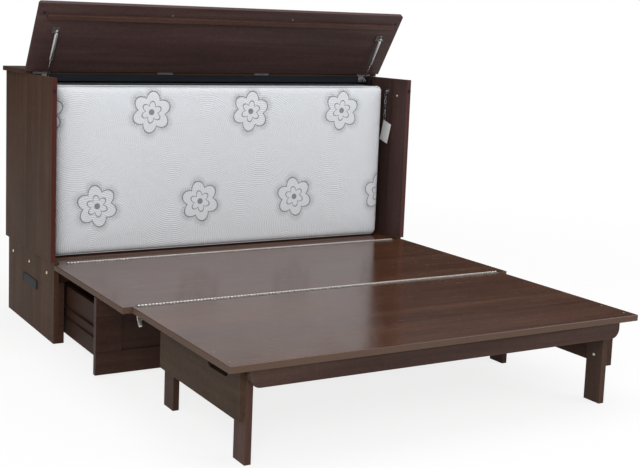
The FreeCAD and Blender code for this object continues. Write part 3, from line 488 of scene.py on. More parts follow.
def edgeRub(finish, vector, limits):
    # on a board's surface, how near the closest arris is: the sum of the two smallest wall distances
    first, second, third = ((value - low).least(high - value).most(0.0)
                            for value, low, high in zip(finish.split(vector), *limits))
    total = first + second + third
    return 1.0 - ((total - first.most(second).most(third)) / edgeBands["rubbed"]).clamped()


def frameJoints(finish, vector, limits):
    # dark hairline where the rails meet the stiles of the framed drawer front
    x, y, z = finish.split(vector)
    onStile = ((x.size() - (limits[1][0] - drawerFrame["stile"])) / drawerFrame["ending"]).clamped()
    upper = (z - (limits[1][2] - drawerFrame["topRail"])).size()
    lower = (z - (limits[0][2] + drawerFrame["bottomRail"])).size()
    return (1.0 - (upper.least(lower) / drawerFrame["line"]).clamped()) * onStile * 0.85


def woodFinish(name, grain, limits, seed):
    # stained hardwood: long soft streaks, fine dark pores and thin stain on the arrises
    polished = name in polishedBoards
    wood = deckWood if polished else plainWood
    sheen = deckSheen if polished else boardSheen.get(name, plainSheen)
    finish = Finish(name + "_wood", {"IOR": wood["ior"], "Specular IOR Level": sheen})
    vector = finish.place
    if name in lidBoards:
        # the pattern lies along the closed board
        inputs = {"Vector": vector, "Center": lidTurn["centre"], "Angle": lidTurn["angle"],
                  "Axis": (1, 0, 0)}
        vector = finish.node("ShaderNodeVectorRotate", {"rotation_type": "AXIS_ANGLE"}, inputs)["Vector"]

    def scaled(kind):
        shift = (seed * 3.1, seed * 1.7, seed * 2.3)
        return finish.stretched(grained(grain, *woodGrain[kind]), shift, vector)

    streaks = finish.noise(1.0, 4.0, 0.62, 0.35, on=scaled("streaks"))
    pores = finish.noise(1.0, 2.0, 0.6, on=scaled("pores"))
    clouds = finish.noise(1.0, 2.0, 0.5, on=scaled("clouds"))
    mottle = finish.noise(woodGrain["mottle"], 4.0, 0.68, on=vector)
    mixed = (streaks * 0.45 + clouds * 0.30 + mottle * 0.25).fade(0.36, 0.66)
    # the board's colour scale: partly its own tone, partly painted light
    tint = boardToneAndPaintedLight.get(name, (1.0, 1.0, 1.0))
    stops = [(at, tuple(level * share for level, share in zip(woodColours[shade], tint)))
             for at, shade in zip((0.0, 0.55, 1.0), wood["shades"])]
    poreMask = pores.fade(0.60, 0.74)
    colour = finish.mixColour(poreMask * 0.40, finish.ramp(mixed, stops), woodColours["dark"])
    y, z = finish.split(vector)[1:]
    fromFront = y - limits[0][1]
    if name.startswith("upper_side"):
        onEdge = (1.0 - (fromFront / edgeBands["frontEdge"]).clamped()) * 0.8
        colour = finish.mixColour(onEdge, colour, woodColours["frontEdge"])
    # painted shade: the back panel's inner face turns near-black blue for the shade inside the cabinet, its back
    # stays wood
    if name == "back_panel":
        shadedFace = 1.0 - (fromFront / edgeBands["insideNavy"]).clamped()
        colour = finish.mixColour(shadedFace, colour, woodColours["insideNavy"])
    if name == "drawer_front":
        colour = finish.mixColour(frameJoints(finish, vector, limits), colour, woodColours["joint"])
    wear = edgeRub(finish, vector, limits) * (0.35 + streaks) * wood["wear"]
    colour = finish.mixColour(wear.clamped(), colour, woodColours["rubbed"])
    handled = finish.noise(6.0, 4.0, 0.6)
    rough = wood["rough"] + handled * wood["handled"] + poreMask * 0.12
    if polished:
        # only the top is polished: the edges and the underside are duller
        unpolished = ((limits[1][2] - z - edgeBands["polish"]) / edgeBands["polishEnding"]).clamped()
        colour = finish.mixColour(unpolished * 0.85, colour, woodColours["deckEdge"])
        rough = rough + streaks * 0.10 - 0.03 + unpolished * 0.5
    normal = finish.bump(pores * 0.7 + streaks * 0.5 + handled * 0.3, wood["bump"], 0.8)
    return finish.look(colour, rough, normal)


def innerBlackFinish(name):
    # painted shade: near-black blue that stands in for the deep shade on the boards behind the mattress, with
    # brush lines along X and light dust
    finish = Finish(name, {"IOR": 1.4, "Specular IOR Level": 0.3})
    lines = finish.noise(1.0, 4.0, 0.6, on=finish.stretched((3.0, 60.0, 60.0)))
    dust = finish.noise(24.0, 4.0, 0.65)
    colour = finish.mixColour(lines.fade(0.35, 0.7), (0.0045, 0.0075, 0.0115), (0.0085, 0.0135, 0.0195))
    colour = finish.mixColour(dust.fade(0.55, 0.85) * 0.25, colour, (0.03, 0.03, 0.03))
    return finish.look(colour, 0.5 + dust * 0.2, finish.bump(lines, 0.0002, 0.6))


def rawWoodFinish(name, grain, seed):
    # drawer box and its painted runners: thin dark stain with little sheen
    finish = Finish(name, {"IOR": 1.4, "Specular IOR Level": 0.08})
    streaks = finish.noise(1.0, 4.0, 0.6, 0.4, on=finish.stretched(grained(grain, 2.0, 34.0), (seed,) * 3))
    colour = finish.ramp(streaks, [(0.3, woodColours["dark"]), (0.75, woodColours["mid"])])
    return finish.look(colour, 0.45 + streaks * 0.2, finish.bump(streaks, 0.0003, 0.6))


def finishNode(name, material):
    slots = nodes[name].data.materials
    if not len(slots):
        slots.append(material)
    for index in range(len(slots)):
        slots[index] = material


def finishBoards():
    wooden = sorted(part["node"] for part in frame["record"]["subparts"]
                    if part["material_slot"] in ("espresso_wood", "deck_finish"))
    for index, name in enumerate(wooden):
        limits = boardLimits(name)
        sides = [high - low for low, high in zip(*limits)]
        grain = boardGrain.get(name, "XYZ"[sides.index(max(sides))])
        # the top rail gets painted shade, near-black blue, in place of wood
        paintedShadeRail = name == "top_rail"
        finishNode(name, innerBlackFinish("top_rail_lacquer") if paintedShadeRail
                   else woodFinish(name, grain, limits, index * 0.37))
    for index, (name, grain) in enumerate(drawerGrain.items()):
        finishNode(name, rawWoodFinish(name + "_wood", grain, index * 0.9))


finishBoards()
print("boards finished")


# Metals, rubber and plastic

def metalFinish(name, colour, rough, brush="X", tarnish=0.25):
    # rolled or plated steel: fine brush lines, cloudy dulling and small dark specks
    finish = Finish(name, {"Metallic": 1.0})
    lines = finish.noise(1.0, 2.0, 0.6, on=finish.stretched(grained(brush, 30.0, 900.0)))
    clouds = finish.noise(45.0, 4.0, 0.6)
    specks = finish.noise(380.0, 1.0, 0.5).fade(0.70, 0.80)
    dull = tuple(value * 0.55 for value in colour)
    tint = finish.mixColour((clouds.fade(0.45, 0.75) * tarnish + specks * 0.4).clamped(), colour, dull)
    return finish.look(tint, rough + clouds * 0.14 + lines * 0.06 + specks * 0.2,
                       finish.bump(lines + specks * 0.6, 0.00006, 0.7))


def mouldedFinish(name, colour, rough, graininess=0.0002):
    # rubber or plastic: fine moulded texture, paler dusty smears
    finish = Finish(name, {"IOR": 1.45, "Specular IOR Level": 0.2})
    grain = finish.noise(900.0, 2.0, 0.5)
    smears = finish.noise(40.0, 3.0, 0.6)
    dusty = tuple(min(1.0, value * 1.8 + 0.02) for value in colour)
    colour = finish.mixColour(smears.fade(0.5, 0.8) * 0.4, colour, dusty)
    return finish.look(colour, rough + smears * 0.15, finish.bump(grain, graininess, 0.5))


def socketFinish():
    # dark moulded strip: blue-grey middle between two black ends, fine moulded grain
    finish = Finish("socket_black", {"IOR": 1.4, "Specular IOR Level": 0.2})
    low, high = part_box("socket_panel")
    along = finish.split()[1]
    fromEnd = (along - low.y).least(high.y - along)
    dust = finish.noise(60.0, 4.0, 0.6)
    middle = finish.mixColour(dust.fade(0.4, 0.7), (0.016, 0.019, 0.020), (0.026, 0.029, 0.029))
    colour = finish.mixColour(fromEnd.fade(0.016, 0.020), (0.004, 0.004, 0.005), middle)
    grain = finish.noise(900.0, 2.0, 0.5)
    return finish.look(colour, 0.5 + dust * 0.2, finish.bump(grain, 0.00008, 0.5))


nickel = metalFinish("nickel_plate", (0.74, 0.72, 0.68), 0.24)
zinc = metalFinish("zinc_plate", (0.66, 0.67, 0.68), 0.30, "Z")
brassyZinc = metalFinish("yellow_zinc", (0.80, 0.72, 0.52), 0.26, "Y")
chrome = metalFinish("chromed_rod", (0.82, 0.82, 0.83), 0.10, "Z", 0.08)
cylinderSteel = metalFinish("grey_cylinder", (0.62, 0.63, 0.64), 0.34, "Z", 0.2)
hingeLeaf = metalFinish("hinge_leaf", (0.20, 0.19, 0.18), 0.46, "X", 0.4)
agedSteel = metalFinish("aged_steel", (0.26, 0.25, 0.235), 0.44, "X", 0.4)
chainSteel = metalFinish("chain_steel", (0.46, 0.46, 0.47), 0.22, "Z", 0.4)
rubber = mouldedFinish("bumper_rubber", (0.012, 0.012, 0.013), 0.55)
runnerPaint = rawWoodFinish("runner_paint", "Y", 0.4)
brownCap = mouldedFinish("brown_cap", (0.020, 0.010, 0.008), 0.46, 0.00008)
nodeMetals = [
    (agedSteel, ("lid_hinge_fixed", "lid_hinge_moving", "strut_brackets", "lid_studs")),
    (nickel, ("leg_hinges_fixed", "leg_hinges_right", "leg_hinges_left", "pulls")),
    (runnerPaint, ("drawer_runners_fixed", "drawer_runners_moving")),
    (rubber, ("front_bumpers", "lid_bumpers")),
    (zinc, ("chain_anchors",)),
    (socketFinish(), ("socket_panel",)),
]
for material, names in nodeMetals:
    for name in names:
        finishNode(name, material)
print("fittings finished")


# Long deck hinges: many short knuckles and a row of screws

pianoHinge = {
    "knuckle": 0.0127,       # length of one knuckle with its gap
    "gap": 0.0040,
    "taper": 0.0020,         # rounded ends, so that each knuckle reads as a bead
    "radius": 0.0025,
    "sides": 12,
    "endShare": 0.55,        # radius of a knuckle's ends, as a share of its own
    "leafStart": 1.12,       # where the sheet starts, in radii from the pin
    "leafShown": 0.0115,     # width of the sheet that stands clear of its shallow rebate
    "sheet": 0.0012,
    "tongue": (0.3, 0.0006), # from these radii off the pin to this much under the sheet
    "endMargin": 0.03,
    "screwPitch": 0.050,
    "screwRadius": 0.0029,
    "screwHeight": 0.0007,
    "screwSunk": 0.0001,
}


def stripShape(x0, x1, y0, y1, z0, z1, ease=0.0003):
    # plate with chamfered top edges: two rings of four corners and a smaller top one
    ring = np.array([[0, 0], [1, 0], [1, 1], [0, 1]], float)
    levels = []
    for z, inset in ((z0, 0.0), (z1 - ease, 0.0), (z1, ease)):
        xs = x0 + inset + ring[:, 0] * (x1 - x0 - 2 * inset)
        ys = y0 + inset + ring[:, 1] * (y1 - y0 - 2 * inset)
        levels.append(np.stack([xs, ys, np.full(4, z)], -1))
    caps = [[3, 2, 1, 0], [8, 9, 10, 11]]
    return Shape(np.vstack(levels), np.vstack([gridQuads(3, 4, closeColumns=True), caps]))


def pianoLeaf(name, node, body, fold, toward, parity):
    # strip beside the knuckles, knuckles of one parity along the pin, screws down the strip
    low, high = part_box(node)
    axisY, axisZ = joints[fold]["pos_m"][1:]
    pitch, gap, taper, radius = (pianoHinge[key] for key in ("knuckle", "gap", "taper", "radius"))
    count = int((high.x - low.x) / pitch)
    start = (low.x + high.x - count * pitch) / 2
    length, end = pitch - gap, radius * pianoHinge["endShare"]
    profile = [(0, 0), (0, end), (taper, radius), (length - taper, radius), (length, end), (length, 0)]
    barrel = lathe(profile, pianoHinge["sides"]).placed(turnTo((1, 0, 0)))
    places = [(start + index * pitch + gap / 2, axisY, axisZ) for index in range(parity, count, 2)]
    sheetTop = low.z + pianoHinge["sheet"]
    near = axisY + toward * radius * pianoHinge["leafStart"]
    far = axisY + toward * pianoHinge["leafShown"]
    strip = stripShape(low.x, high.x, min(near, far), max(near, far), low.z, sheetTop)
    inner, under = pianoHinge["tongue"]
    tongue = sorted((axisY + toward * radius * inner, near + toward * under))
    steps = [(place[0], 0, 0) for place in places]
    tongues = stripShape(0, length, *tongue, low.z, sheetTop).repeated(steps)
    piece = makePiece(name, barrel.repeated(places) + tongues, nickel, body)
    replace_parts(piece, node)
    makePiece(name + "_leaf", strip, hingeLeaf, body)
    screws = int((high.x - low.x - pianoHinge["endMargin"]) / pianoHinge["screwPitch"])
    spread = screws * pianoHinge["screwPitch"] / 2
    middle, seat = (near + far) / 2, sheetTop - pianoHinge["screwSunk"]
    places = [(x, middle, seat) for x in np.linspace(-spread, spread, screws + 1)]
    head = screwHead(pianoHinge["screwRadius"], pianoHinge["screwHeight"])
    makePiece(name + "_screws", head.repeated(places), nickel, body)


pianoLeaf("deck_piano_rear", "deck_hinge_fixed", "cabinet", "deck_fold", 1, 0)
pianoLeaf("deck_piano_front", "deck_hinge_moving", "middle_deck", "deck_fold", -1, 1)
pianoLeaf("foot_piano_rear", "foot_hinge_rear", "middle_deck", "foot_fold", 1, 0)
pianoLeaf("foot_piano_front", "foot_hinge_front", "foot_deck", "foot_fold", -1, 1)
print("deck hinges made")


# Gas struts

gasStrut = {
    "sides": 28,
    "topGap": 0.0045,        # from the upper ball to the top of the frame's barrel
    "barrelLength": 0.125,
    "neck": 0.007,           # from the barrel's end to the upper ball
    # distance along the strut and radius: rod from the lower ball, barrel from its ends and the upper ball
    "rod": [(-0.0068, 0), (-0.0066, 0.0035), (-0.0045, 0.0062), (0, 0.0068), (0.0045, 0.0062),
            (0.007, 0.0048), (0.0125, 0.0046), (0.0130, 0.0030), (0.140, 0.0030), (0.141, 0)],
    "barrelFoot": [(-0.0005, 0), (-0.0005, 0.0040), (0, 0.0058), (0.002, 0.00686), (0.006, 0.0070),
                   (0.009, 0.00651), (0.011, 0.0070)],
    "barrelHead": [(-0.006, 0.0070), (-0.003, 0.0063), (0, 0.0040), (0.0015, 0.0040)],
    "upperBall": [(-0.004, 0.0052), (0, 0.0066), (0.004, 0.0058), (0.0060, 0.003), (0.0062, 0)],
}


def makeStrut(side):
    # rod and barrel are profiles turned about the strut's line, with ball sockets at both ends
    root = np.array(joints["strut_%s_swing" % side]["pos_m"])
    line = np.array(joints["strut_%s_slide" % side]["axis"])
    low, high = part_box("strut_barrel_" + side)
    top = (high.z - root[2]) / line[2] - gasStrut["topGap"]
    end = top - gasStrut["neck"]
    starts = {"barrelFoot": end - gasStrut["barrelLength"], "barrelHead": end, "upperBall": top}
    barrel = [(at + along, radius) for key, at in starts.items() for along, radius in gasStrut[key]]
    for part, profile, metal in (("rod", gasStrut["rod"], chrome), ("barrel", barrel, cylinderSteel)):
        shape = lathe(profile, gasStrut["sides"]).placed(turnTo(line), root)
        node = "strut_%s_%s" % (part, side)
        piece = makePiece("strut_%s_piece_%s" % (part, side), shape, metal, node)
        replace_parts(piece, node)


for side in ("right", "left"):
    makeStrut(side)
print("gas struts made")


# Chains and tag

chainLink = {
    "count": 9, "pitch": 0.0147, "bend": 0.0045, "straight": 0.0048, "wire": 0.0013, "sides": 8, "steps": 9,
    "sway": 9,     # degrees that links stand off the square
}


def makeChain(side):
    # each link: two half circles joined by straights, its plane at a right angle to the last link's
    bend, straight = chainLink["bend"], chainLink["straight"]
    angle = np.linspace(0, np.pi, chainLink["steps"])
    upper = np.stack([bend * np.cos(angle), 0 * angle, straight + bend * np.sin(angle)], -1)
    ring = tube(np.vstack([upper, -upper]), chainLink["wire"], chainLink["sides"])
    place = np.array(joints["chain_swing_" + side]["pos_m"])
    links = []
    for index in range(chainLink["count"]):
        turn = math.radians(90 + 90 * (index % 2) + chainLink["sway"] * math.sin(index * 1.7))
        down = np.array([0, 0, -straight - index * chainLink["pitch"]])
        links.append(ring.placed(Matrix.Rotation(turn, 3, "Z"), place + down))
    piece = makePiece("chain_links_" + side, joined(links), chainSteel, side + "_chain")
    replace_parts(piece, "chain_" + side)


tagCard = {
    "width": 0.062, "height": 0.092, "thick": 0.0006, "fromHole": 0.009, "tilt": 16, "holeDrop": 0.0165,
    "rows": 15, "columns": 19, "bow": 0.0012, "loop": 0.006, "wire": 0.0006, "loopUp": 0.0050,
    "loopSides": 24, "wireSides": 6,
}


def tagFinish():
    # plain card: fine fibres and faint smudges
    finish = Finish("tag_card", {"IOR": 1.45})
    fibres = finish.noise(260.0, 4.0, 0.65)
    smudge = finish.noise(28.0, 3.0, 0.6)
    colour = finish.mixColour(smudge.fade(0.5, 0.85) * 0.4, (0.88, 0.88, 0.88), (0.70, 0.69, 0.67))
    return finish.look(colour, 0.45 + fibres * 0.2, finish.bump(fibres, 0.0001, 0.5))


def makeTag():
    # thin card bowed a little across its height, on a wire loop
    low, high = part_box("chain_tag")
    middleX = (low.x + high.x) / 2
    holeY, holeZ = joints["chain_swing_right"]["pos_m"][1], high.z - tagCard["holeDrop"]
    tilt = math.radians(tagCard["tilt"])
    rows, columns, thick = tagCard["rows"], tagCard["columns"], tagCard["thick"]
    u, v = np.meshgrid(np.linspace(0, 1, rows), np.linspace(0, 1, columns), indexing="ij")
    across = (u - 1) * tagCard["width"] + tagCard["fromHole"]
    down = tagCard["fromHole"] - v * tagCard["height"]
    bow = tagCard["bow"] * (np.sin(np.pi * v) * (0.4 + u) - 0.5)
    y = holeY + across * math.cos(tilt) - down * math.sin(tilt)
    z = holeZ + down * math.cos(tilt) + across * math.sin(tilt)
    front = np.stack([middleX + bow - thick / 2, y, z], -1).reshape(-1, 3)
    quads = gridQuads(rows, columns)
    count = len(front)
    number = np.arange(count).reshape(rows, columns)
    edge = np.concatenate([number[0], number[1:, -1], number[-1, -2::-1], number[-2:0:-1, 0]])
    rim = np.stack([edge, np.roll(edge, -1), np.roll(edge, -1) + count, edge + count], -1)
    shape = Shape(np.vstack([front, front + [thick, 0, 0]]), np.vstack([quads, quads[:, ::-1] + count, rim]))
    card = makePiece("tag_card", shape, tagFinish(), "right_chain", weld=True)
    cos, sin = circle(tagCard["loopSides"])
    path = tagCard["loop"] * np.stack([cos, 0 * cos, sin], -1) + [middleX, holeY, holeZ + tagCard["loopUp"]]
    makePiece("tag_loop", tube(path, tagCard["wire"], tagCard["wireSides"]), zinc, "right_chain")
    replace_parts(card, "chain_tag")


for side in ("right", "left"):
    makeChain(side)
makeTag()
print("chains made")


# Mattress

mattressSettings = {
    "step": 0.0125,         # grid of the cloth, metres
    "shrink": 0.0030,       # how far the start shape stands inside the CAD solid
    "cap": 0.0055,          # farthest a point may move in the simulation
    "round": 0.024,
    "frames": 20,
    "cloth": {"use_pressure": True, "uniform_pressure_force": 4.0, "quality": 4, "mass": 0.3,
              "tension_stiffness": 25, "compression_stiffness": 25, "bending_stiffness": 1.5},
    "seamInset": 0.022,     # from each large face to its seam, along the thickness
    "seamDip": 0.0022,
    "seamWidth": 0.007,
    "tuck": 0.0007,
    "tuckPitch": (0.031, 0.047),
    "tuckBand": (0.008, 0.016),   # how far in from the large face the tucks are deepest, and their spread
    "rim": 0.03,            # how far from the rim the dip and the tucks fade out
    "cornerPoints": 9,
    "seamStep": 0.03,       # between the points of the seam's straights
    "seamBand": 0.012,      # shell points this near the seam's level set its place
    "seamMove": 0.004,      # and move it by this much at most
    "piping": 0.0022,
    "pipingSides": 8,
    "wider": 0.010,         # how far the cloth stands past the solid on the right
    # each section's knit side, front -1 or back 1, and how far the knit wraps round its edge
    "sections": {"front": (-1, 0.022), "middle": (1, 0.006), "rear": (-1, 0.006)},
}
clothColours = {
    "whiteLow": (0.70, 0.715, 0.735), "whiteHigh": (0.77, 0.78, 0.79), "stitch": (0.60, 0.62, 0.65),
    "ink": (0.085, 0.085, 0.095), "navyLow": (0.006, 0.009, 0.015), "navyHigh": (0.016, 0.022, 0.034),
}
clothPitch = {"knitAcross": 0.0016, "knitUp": 0.0021, "mesh": 0.0034, "twist": 0.0042}
arcPattern = {"perMetre": 2.9, "pitch": 0.0085}
rosettes = {"across": 0.45, "up": 0.37, "radius": 0.084, "petals": 6, "line": 0.0042, "halo": 0.030,
            "petalDepth": 0.30, "inner": 0.52, "innerDepth": 0.42, "bud": 0.13, "budEnding": 0.002,
            "haloStart": 0.003, "haloFull": 0.004, "shift": (0.33, 0.12)}


def roundedBlock(half, radius, step):
    # points of a box surface, each drawn to the nearest point of the inner box and set out by the radius
    half = np.asarray(half, float)
    sheets = []
    for axis in range(3):
        a, b = [index for index in range(3) if index != axis]
        counts = [max(4, int(round(2 * half[index] / step))) + 1 for index in (a, b)]
        u, v = np.meshgrid(np.linspace(-half[a], half[a], counts[0]),
                           np.linspace(-half[b], half[b], counts[1]),
                           indexing="ij")
        for sign in (-1, 1):
            points = np.zeros(counts + [3])
            points[..., a], points[..., b], points[..., axis] = u, v, sign * half[axis]
            outward = (sign > 0) == (axis != 1)
            sheets.append(Shape(points, gridQuads(*counts)[:, ::-1] if outward else gridQuads(*counts)))
    block = joined(sheets)
    inner = np.clip(block.points, -(half - radius), half - radius)
    offset = block.points - inner
    length = np.linalg.norm(offset, axis=1, keepdims=True)
    block.points = inner + radius * offset / np.maximum(length, 1e-9)
    return block


def puffed(start):
    # pressure from inside swells the closed shell; each point then moves at most by the cap
    rest = pointsOf(start.data)
    cloth = start.modifiers.new("cloth", "CLOTH")
    for key, value in mattressSettings["cloth"].items():
        setattr(cloth.settings, key, value)
    cloth.settings.effector_weights.gravity = 0
    cloth.collision_settings.use_self_collision = False
    for number in range(1, mattressSettings["frames"] + 1):
        scene.frame_set(number)
    move = pointsOf(start.evaluated_get(bpy.context.evaluated_depsgraph_get()).data) - rest
    start.modifiers.remove(cloth)
    scene.frame_set(1)
    length = np.linalg.norm(move, axis=1, keepdims=True)
    return rest + move * np.minimum(1, mattressSettings["cap"] / np.maximum(length, 1e-9))


def rosetteMasks(x, z):
    # outline of a six-petalled flower in each cell of a brick lattice, and a speckled ring around it
    shiftX, shiftZ = rosettes["shift"]
    up = z / rosettes["up"] + shiftZ
    row = up.maths("FLOOR")
    cellX = ((x / rosettes["across"] + row * 0.5 + shiftX).maths("FRACT") - 0.5) * rosettes["across"]
    cellZ = (up.maths("FRACT") - 0.5) * rosettes["up"]
    reach = (cellX * cellX + cellZ * cellZ).maths("SQRT")
    petal = (cellZ.maths("ARCTAN2", cellX) * (rosettes["petals"] / 2) + row).maths("COSINE").size()

    def outline(share, depth):
        return (petal * depth + (1 - depth)) * (rosettes["radius"] * share)

    outer = outline(1.0, rosettes["petalDepth"])
    lines = [1.0 - ((reach - edge).size() / rosettes["line"]).clamped()
             for edge in (outer, outline(rosettes["inner"], rosettes["innerDepth"]))]
    bud = 1.0 - ((reach - rosettes["radius"] * rosettes["bud"]) / rosettes["budEnding"]).clamped()
    beyond = reach - outer
    fading = 1.0 - beyond.fade(rosettes["haloFull"], rosettes["halo"])
    halo = beyond.fade(0.0, rosettes["haloStart"]) * fading
    return lines[0].most(lines[1]).most(bud).fade(0.15, 0.7), halo


def mattressFinish():
    # white knit with stitched arcs and grey woven rosettes on the large faces, navy mesh on the sides
    finish = Finish("mattress_knit", {"Sheen Weight": 0.25, "Sheen Roughness": 0.5, "IOR": 1.4})
    x, y, z = finish.split()
    side = finish.node("ShaderNodeAttribute", {"attribute_name": "sideCloth"})["Fac"]
    flat = finish.node("ShaderNodeCombineXYZ", {}, {0: x, 1: z})[0]
    # arcs about scattered centres, a stitched line at each pitch
    cells = finish.node("ShaderNodeTexVoronoi", {"voronoi_dimensions": "2D", "feature": "F1"},
                        {"Vector": flat, "Scale": arcPattern["perMetre"], "Randomness": 0.7})
    arcs = cells["Distance"].wave(arcPattern["pitch"] * arcPattern["perMetre"]) * 0.5 + 0.5
    rosette, halo = rosetteMasks(x, z)
    speckle = finish.noise(420.0, 2.0, 0.6)
    knit = x.wave(clothPitch["knitAcross"]) * z.wave(clothPitch["knitUp"]) * 0.5 + 0.5
    tone = finish.noise(3.0, 3.0, 0.5)
    white = finish.mixColour(tone.fade(0.4, 0.7), clothColours["whiteLow"], clothColours["whiteHigh"])
    white = finish.mixColour(arcs.fade(0.0, 0.35) * 0.10, clothColours["stitch"], white)
    white = finish.mixColour(arcs.fade(0.55, 0.1) * 0.35, white, clothColours["stitch"])
    ink = (rosette * (0.55 + speckle * 0.6)).clamped() * 0.9 + (halo * speckle.fade(0.48, 0.58)) * 0.75
    printed = finish.mixColour(ink.clamped(), white, clothColours["ink"])
    meshHoles = (x + z).wave(clothPitch["mesh"]) * (y - z).wave(clothPitch["mesh"])
    navy = finish.mixColour(meshHoles.fade(-0.4, 0.6), clothColours["navyLow"], clothColours["navyHigh"])
    lumps = finish.bump(finish.noise(16.0, 3.0, 0.5), 0.004, 0.5)
    ridges = finish.bump(arcs * (1.0 - side), 0.0012, 0.75, lumps)
    normal = finish.bump(knit * 0.5 + speckle * 0.5 + meshHoles * side, 0.0003, 0.7, ridges)
    return finish.look(finish.mixColour(side, printed, navy), 0.82 + speckle * 0.14, normal)


def pipingFinish(name, valley, crest):
    # twisted cord: slanted lines along the edge
    finish = Finish(name, {"Sheen Weight": 0.2})
    x, y, z = finish.split()
    twist = (x + y * 2.0 + z).wave(clothPitch["twist"]) * 0.5 + 0.5
    fuzz = finish.noise(600.0, 2.0, 0.6)
    colour = finish.mixColour(twist * 0.8, valley, crest)
    return finish.look(colour, 0.8 + fuzz * 0.15, finish.bump(twist + fuzz, 0.0006, 0.7))


def seamDip(points, half):
    # the band beside each seam is drawn in toward the middle of the block, and small tucks run from it
    size, sign = np.abs(points), np.sign(points)
    fromSeam = np.abs(size[:, 1] - (half[1] - mattressSettings["seamInset"]))
    pull = mattressSettings["seamDip"] * np.exp(-(fromSeam / mattressSettings["seamWidth"]) ** 2)
    rim = mattressSettings["rim"]
    atRim = np.clip((size - np.asarray(half) + rim) / rim, 0, 1) * [1, 0, 1]
    run = points[:, 0] + points[:, 2]
    depth, spread = mattressSettings["tuckBand"]
    nearFace = np.exp(-((size[:, 1] - half[1] + depth) / spread) ** 2)
    short, long = (run * 2 * np.pi / pitch for pitch in mattressSettings["tuckPitch"])
    waves = np.sin(short) + 0.7 * np.sin(long + 1.3)
    moved = points - pull[:, None] * atRim * sign
    moved[:, 1] += mattressSettings["tuck"] * waves * nearFace * atRim.max(1) * sign[:, 1]
    return moved


def seamPath(points, half, sign):
    # rounded rectangle at the seam's level, laid on the swollen shell by the nearest shell point's reach
    level = sign * (half[1] - mattressSettings["seamInset"])
    r, count, most = (mattressSettings[key] for key in ("round", "cornerPoints", "seamMove"))
    arcs = []
    for index, (signX, signZ) in enumerate(((1, 1), (-1, 1), (-1, -1), (1, -1))):
        turn = np.radians(np.linspace(index * 90, index * 90 + 90, count))
        arcs.append(np.stack([signX * (half[0] - r) + r * np.cos(turn), np.full(count, level),
                              signZ * (half[2] - r) + r * np.sin(turn)], -1))
    path = []
    for arc, following in zip(arcs, arcs[1:] + arcs[:1]):
        straight = following[0] - arc[-1]
        steps = max(2, int(np.linalg.norm(straight) / mattressSettings["seamStep"]))
        path += [arc, arc[-1] + straight * np.linspace(0, 1, steps + 1)[1:-1, None]]
    path = np.vstack(path)
    band = points[np.abs(points[:, 1] - level) < mattressSettings["seamBand"]]
    gap = np.linalg.norm(path[:, None, ::2] - band[None][..., ::2], axis=2)
    nearest = band[gap.argmin(1)]
    for axis in (0, 2):
        onSide = np.abs(path[:, axis]) > half[axis] - r
        path[:, axis] += np.clip(nearest[:, axis] - path[:, axis], -most, most) * onSide
    return path


def soften(piece, half, centre, knitSide, wrap):
    # one subdivision, then seams and tucks on the finer points, then the place in the cabinet
    finer = piece.modifiers.new("finer", "SUBSURF")
    finer.levels = finer.render_levels = 1
    mesh = bpy.data.meshes.new_from_object(piece.evaluated_get(bpy.context.evaluated_depsgraph_get()))
    piece.modifiers.clear()
    old = piece.data
    piece.data = mesh
    bpy.data.meshes.remove(old)
    points = pointsOf(mesh)
    # 0 on the one large face that has the knit and a wrap's width round its edge, 1 on all the dark cloth
    dark = (points[:, 1] * knitSide < half[1] - wrap).astype(float)
    mesh.attributes.new("sideCloth", "FLOAT", "POINT").data.foreach_set("value", dark)
    mesh.vertices.foreach_set("co", (seamDip(points, half) + centre).ravel())
    mesh.update()


def makeMattress():
    material = mattressFinish()
    whitePiping = pipingFinish("mattress_piping_white", (0.50, 0.51, 0.53), (0.72, 0.73, 0.75))
    darkPiping = pipingFinish("mattress_piping_navy", (0.006, 0.009, 0.015), (0.018, 0.024, 0.036))
    low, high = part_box("mattress_front")
    half = [(high[axis] - low[axis]) / 2 - mattressSettings["shrink"] for axis in range(3)]
    half[0] += mattressSettings["wider"] / 2
    block = roundedBlock(half, mattressSettings["round"], mattressSettings["step"])
    start = makePiece("mattress_start", block, material, "mattress", weld=True)
    shell = puffed(start)
    quads = np.array([list(face.vertices) for face in start.data.polygons])
    bpy.data.objects.remove(start)
    # zigzag fold: the knit faces front, then back to back with the next section's knit
    for index, (name, (knitSide, wrap)) in enumerate(mattressSettings["sections"].items()):
        low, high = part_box("mattress_" + name)
        centre = (np.array(low) + np.array(high)) / 2 + [mattressSettings["wider"] / 2, 0, 0]
        mirrored = index == 1
        shape = Shape(shell * [-1 if mirrored else 1, 1, 1], quads[:, ::-1] if mirrored else quads)
        piece = makePiece("mattress_cover_" + name, shape, material, "mattress")
        soften(piece, half, centre, knitSide, wrap)
        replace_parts(piece, "mattress_" + name)
        for sign, seam in ((-1, "a"), (1, "b")):
            path = seamPath(shape.points, half, sign) + centre
            loop = tube(path, mattressSettings["piping"], mattressSettings["pipingSides"])
            finish = whitePiping if (index, sign) == (0, -1) else darkPiping
            makePiece("mattress_piping_%s_%s" % (name, seam), loop, finish, "mattress")


makeMattress()
print("mattress made")


# Bolts, hooks, screws and caps

boltHead = {
    "height": 0.0030, "gap": 0.03,      # gap: bolts stand farther apart than this along Y
    # height and radius: domed head with a socket sunk in its middle
    "profile": [(0, 0), (0, 0.0060), (0.00105, 0.0060), (0.0024, 0.00516), (0.0030, 0.00396),
                (0.0030, 0.0034), (0.0008, 0.003264), (0.0008, 0)],
}


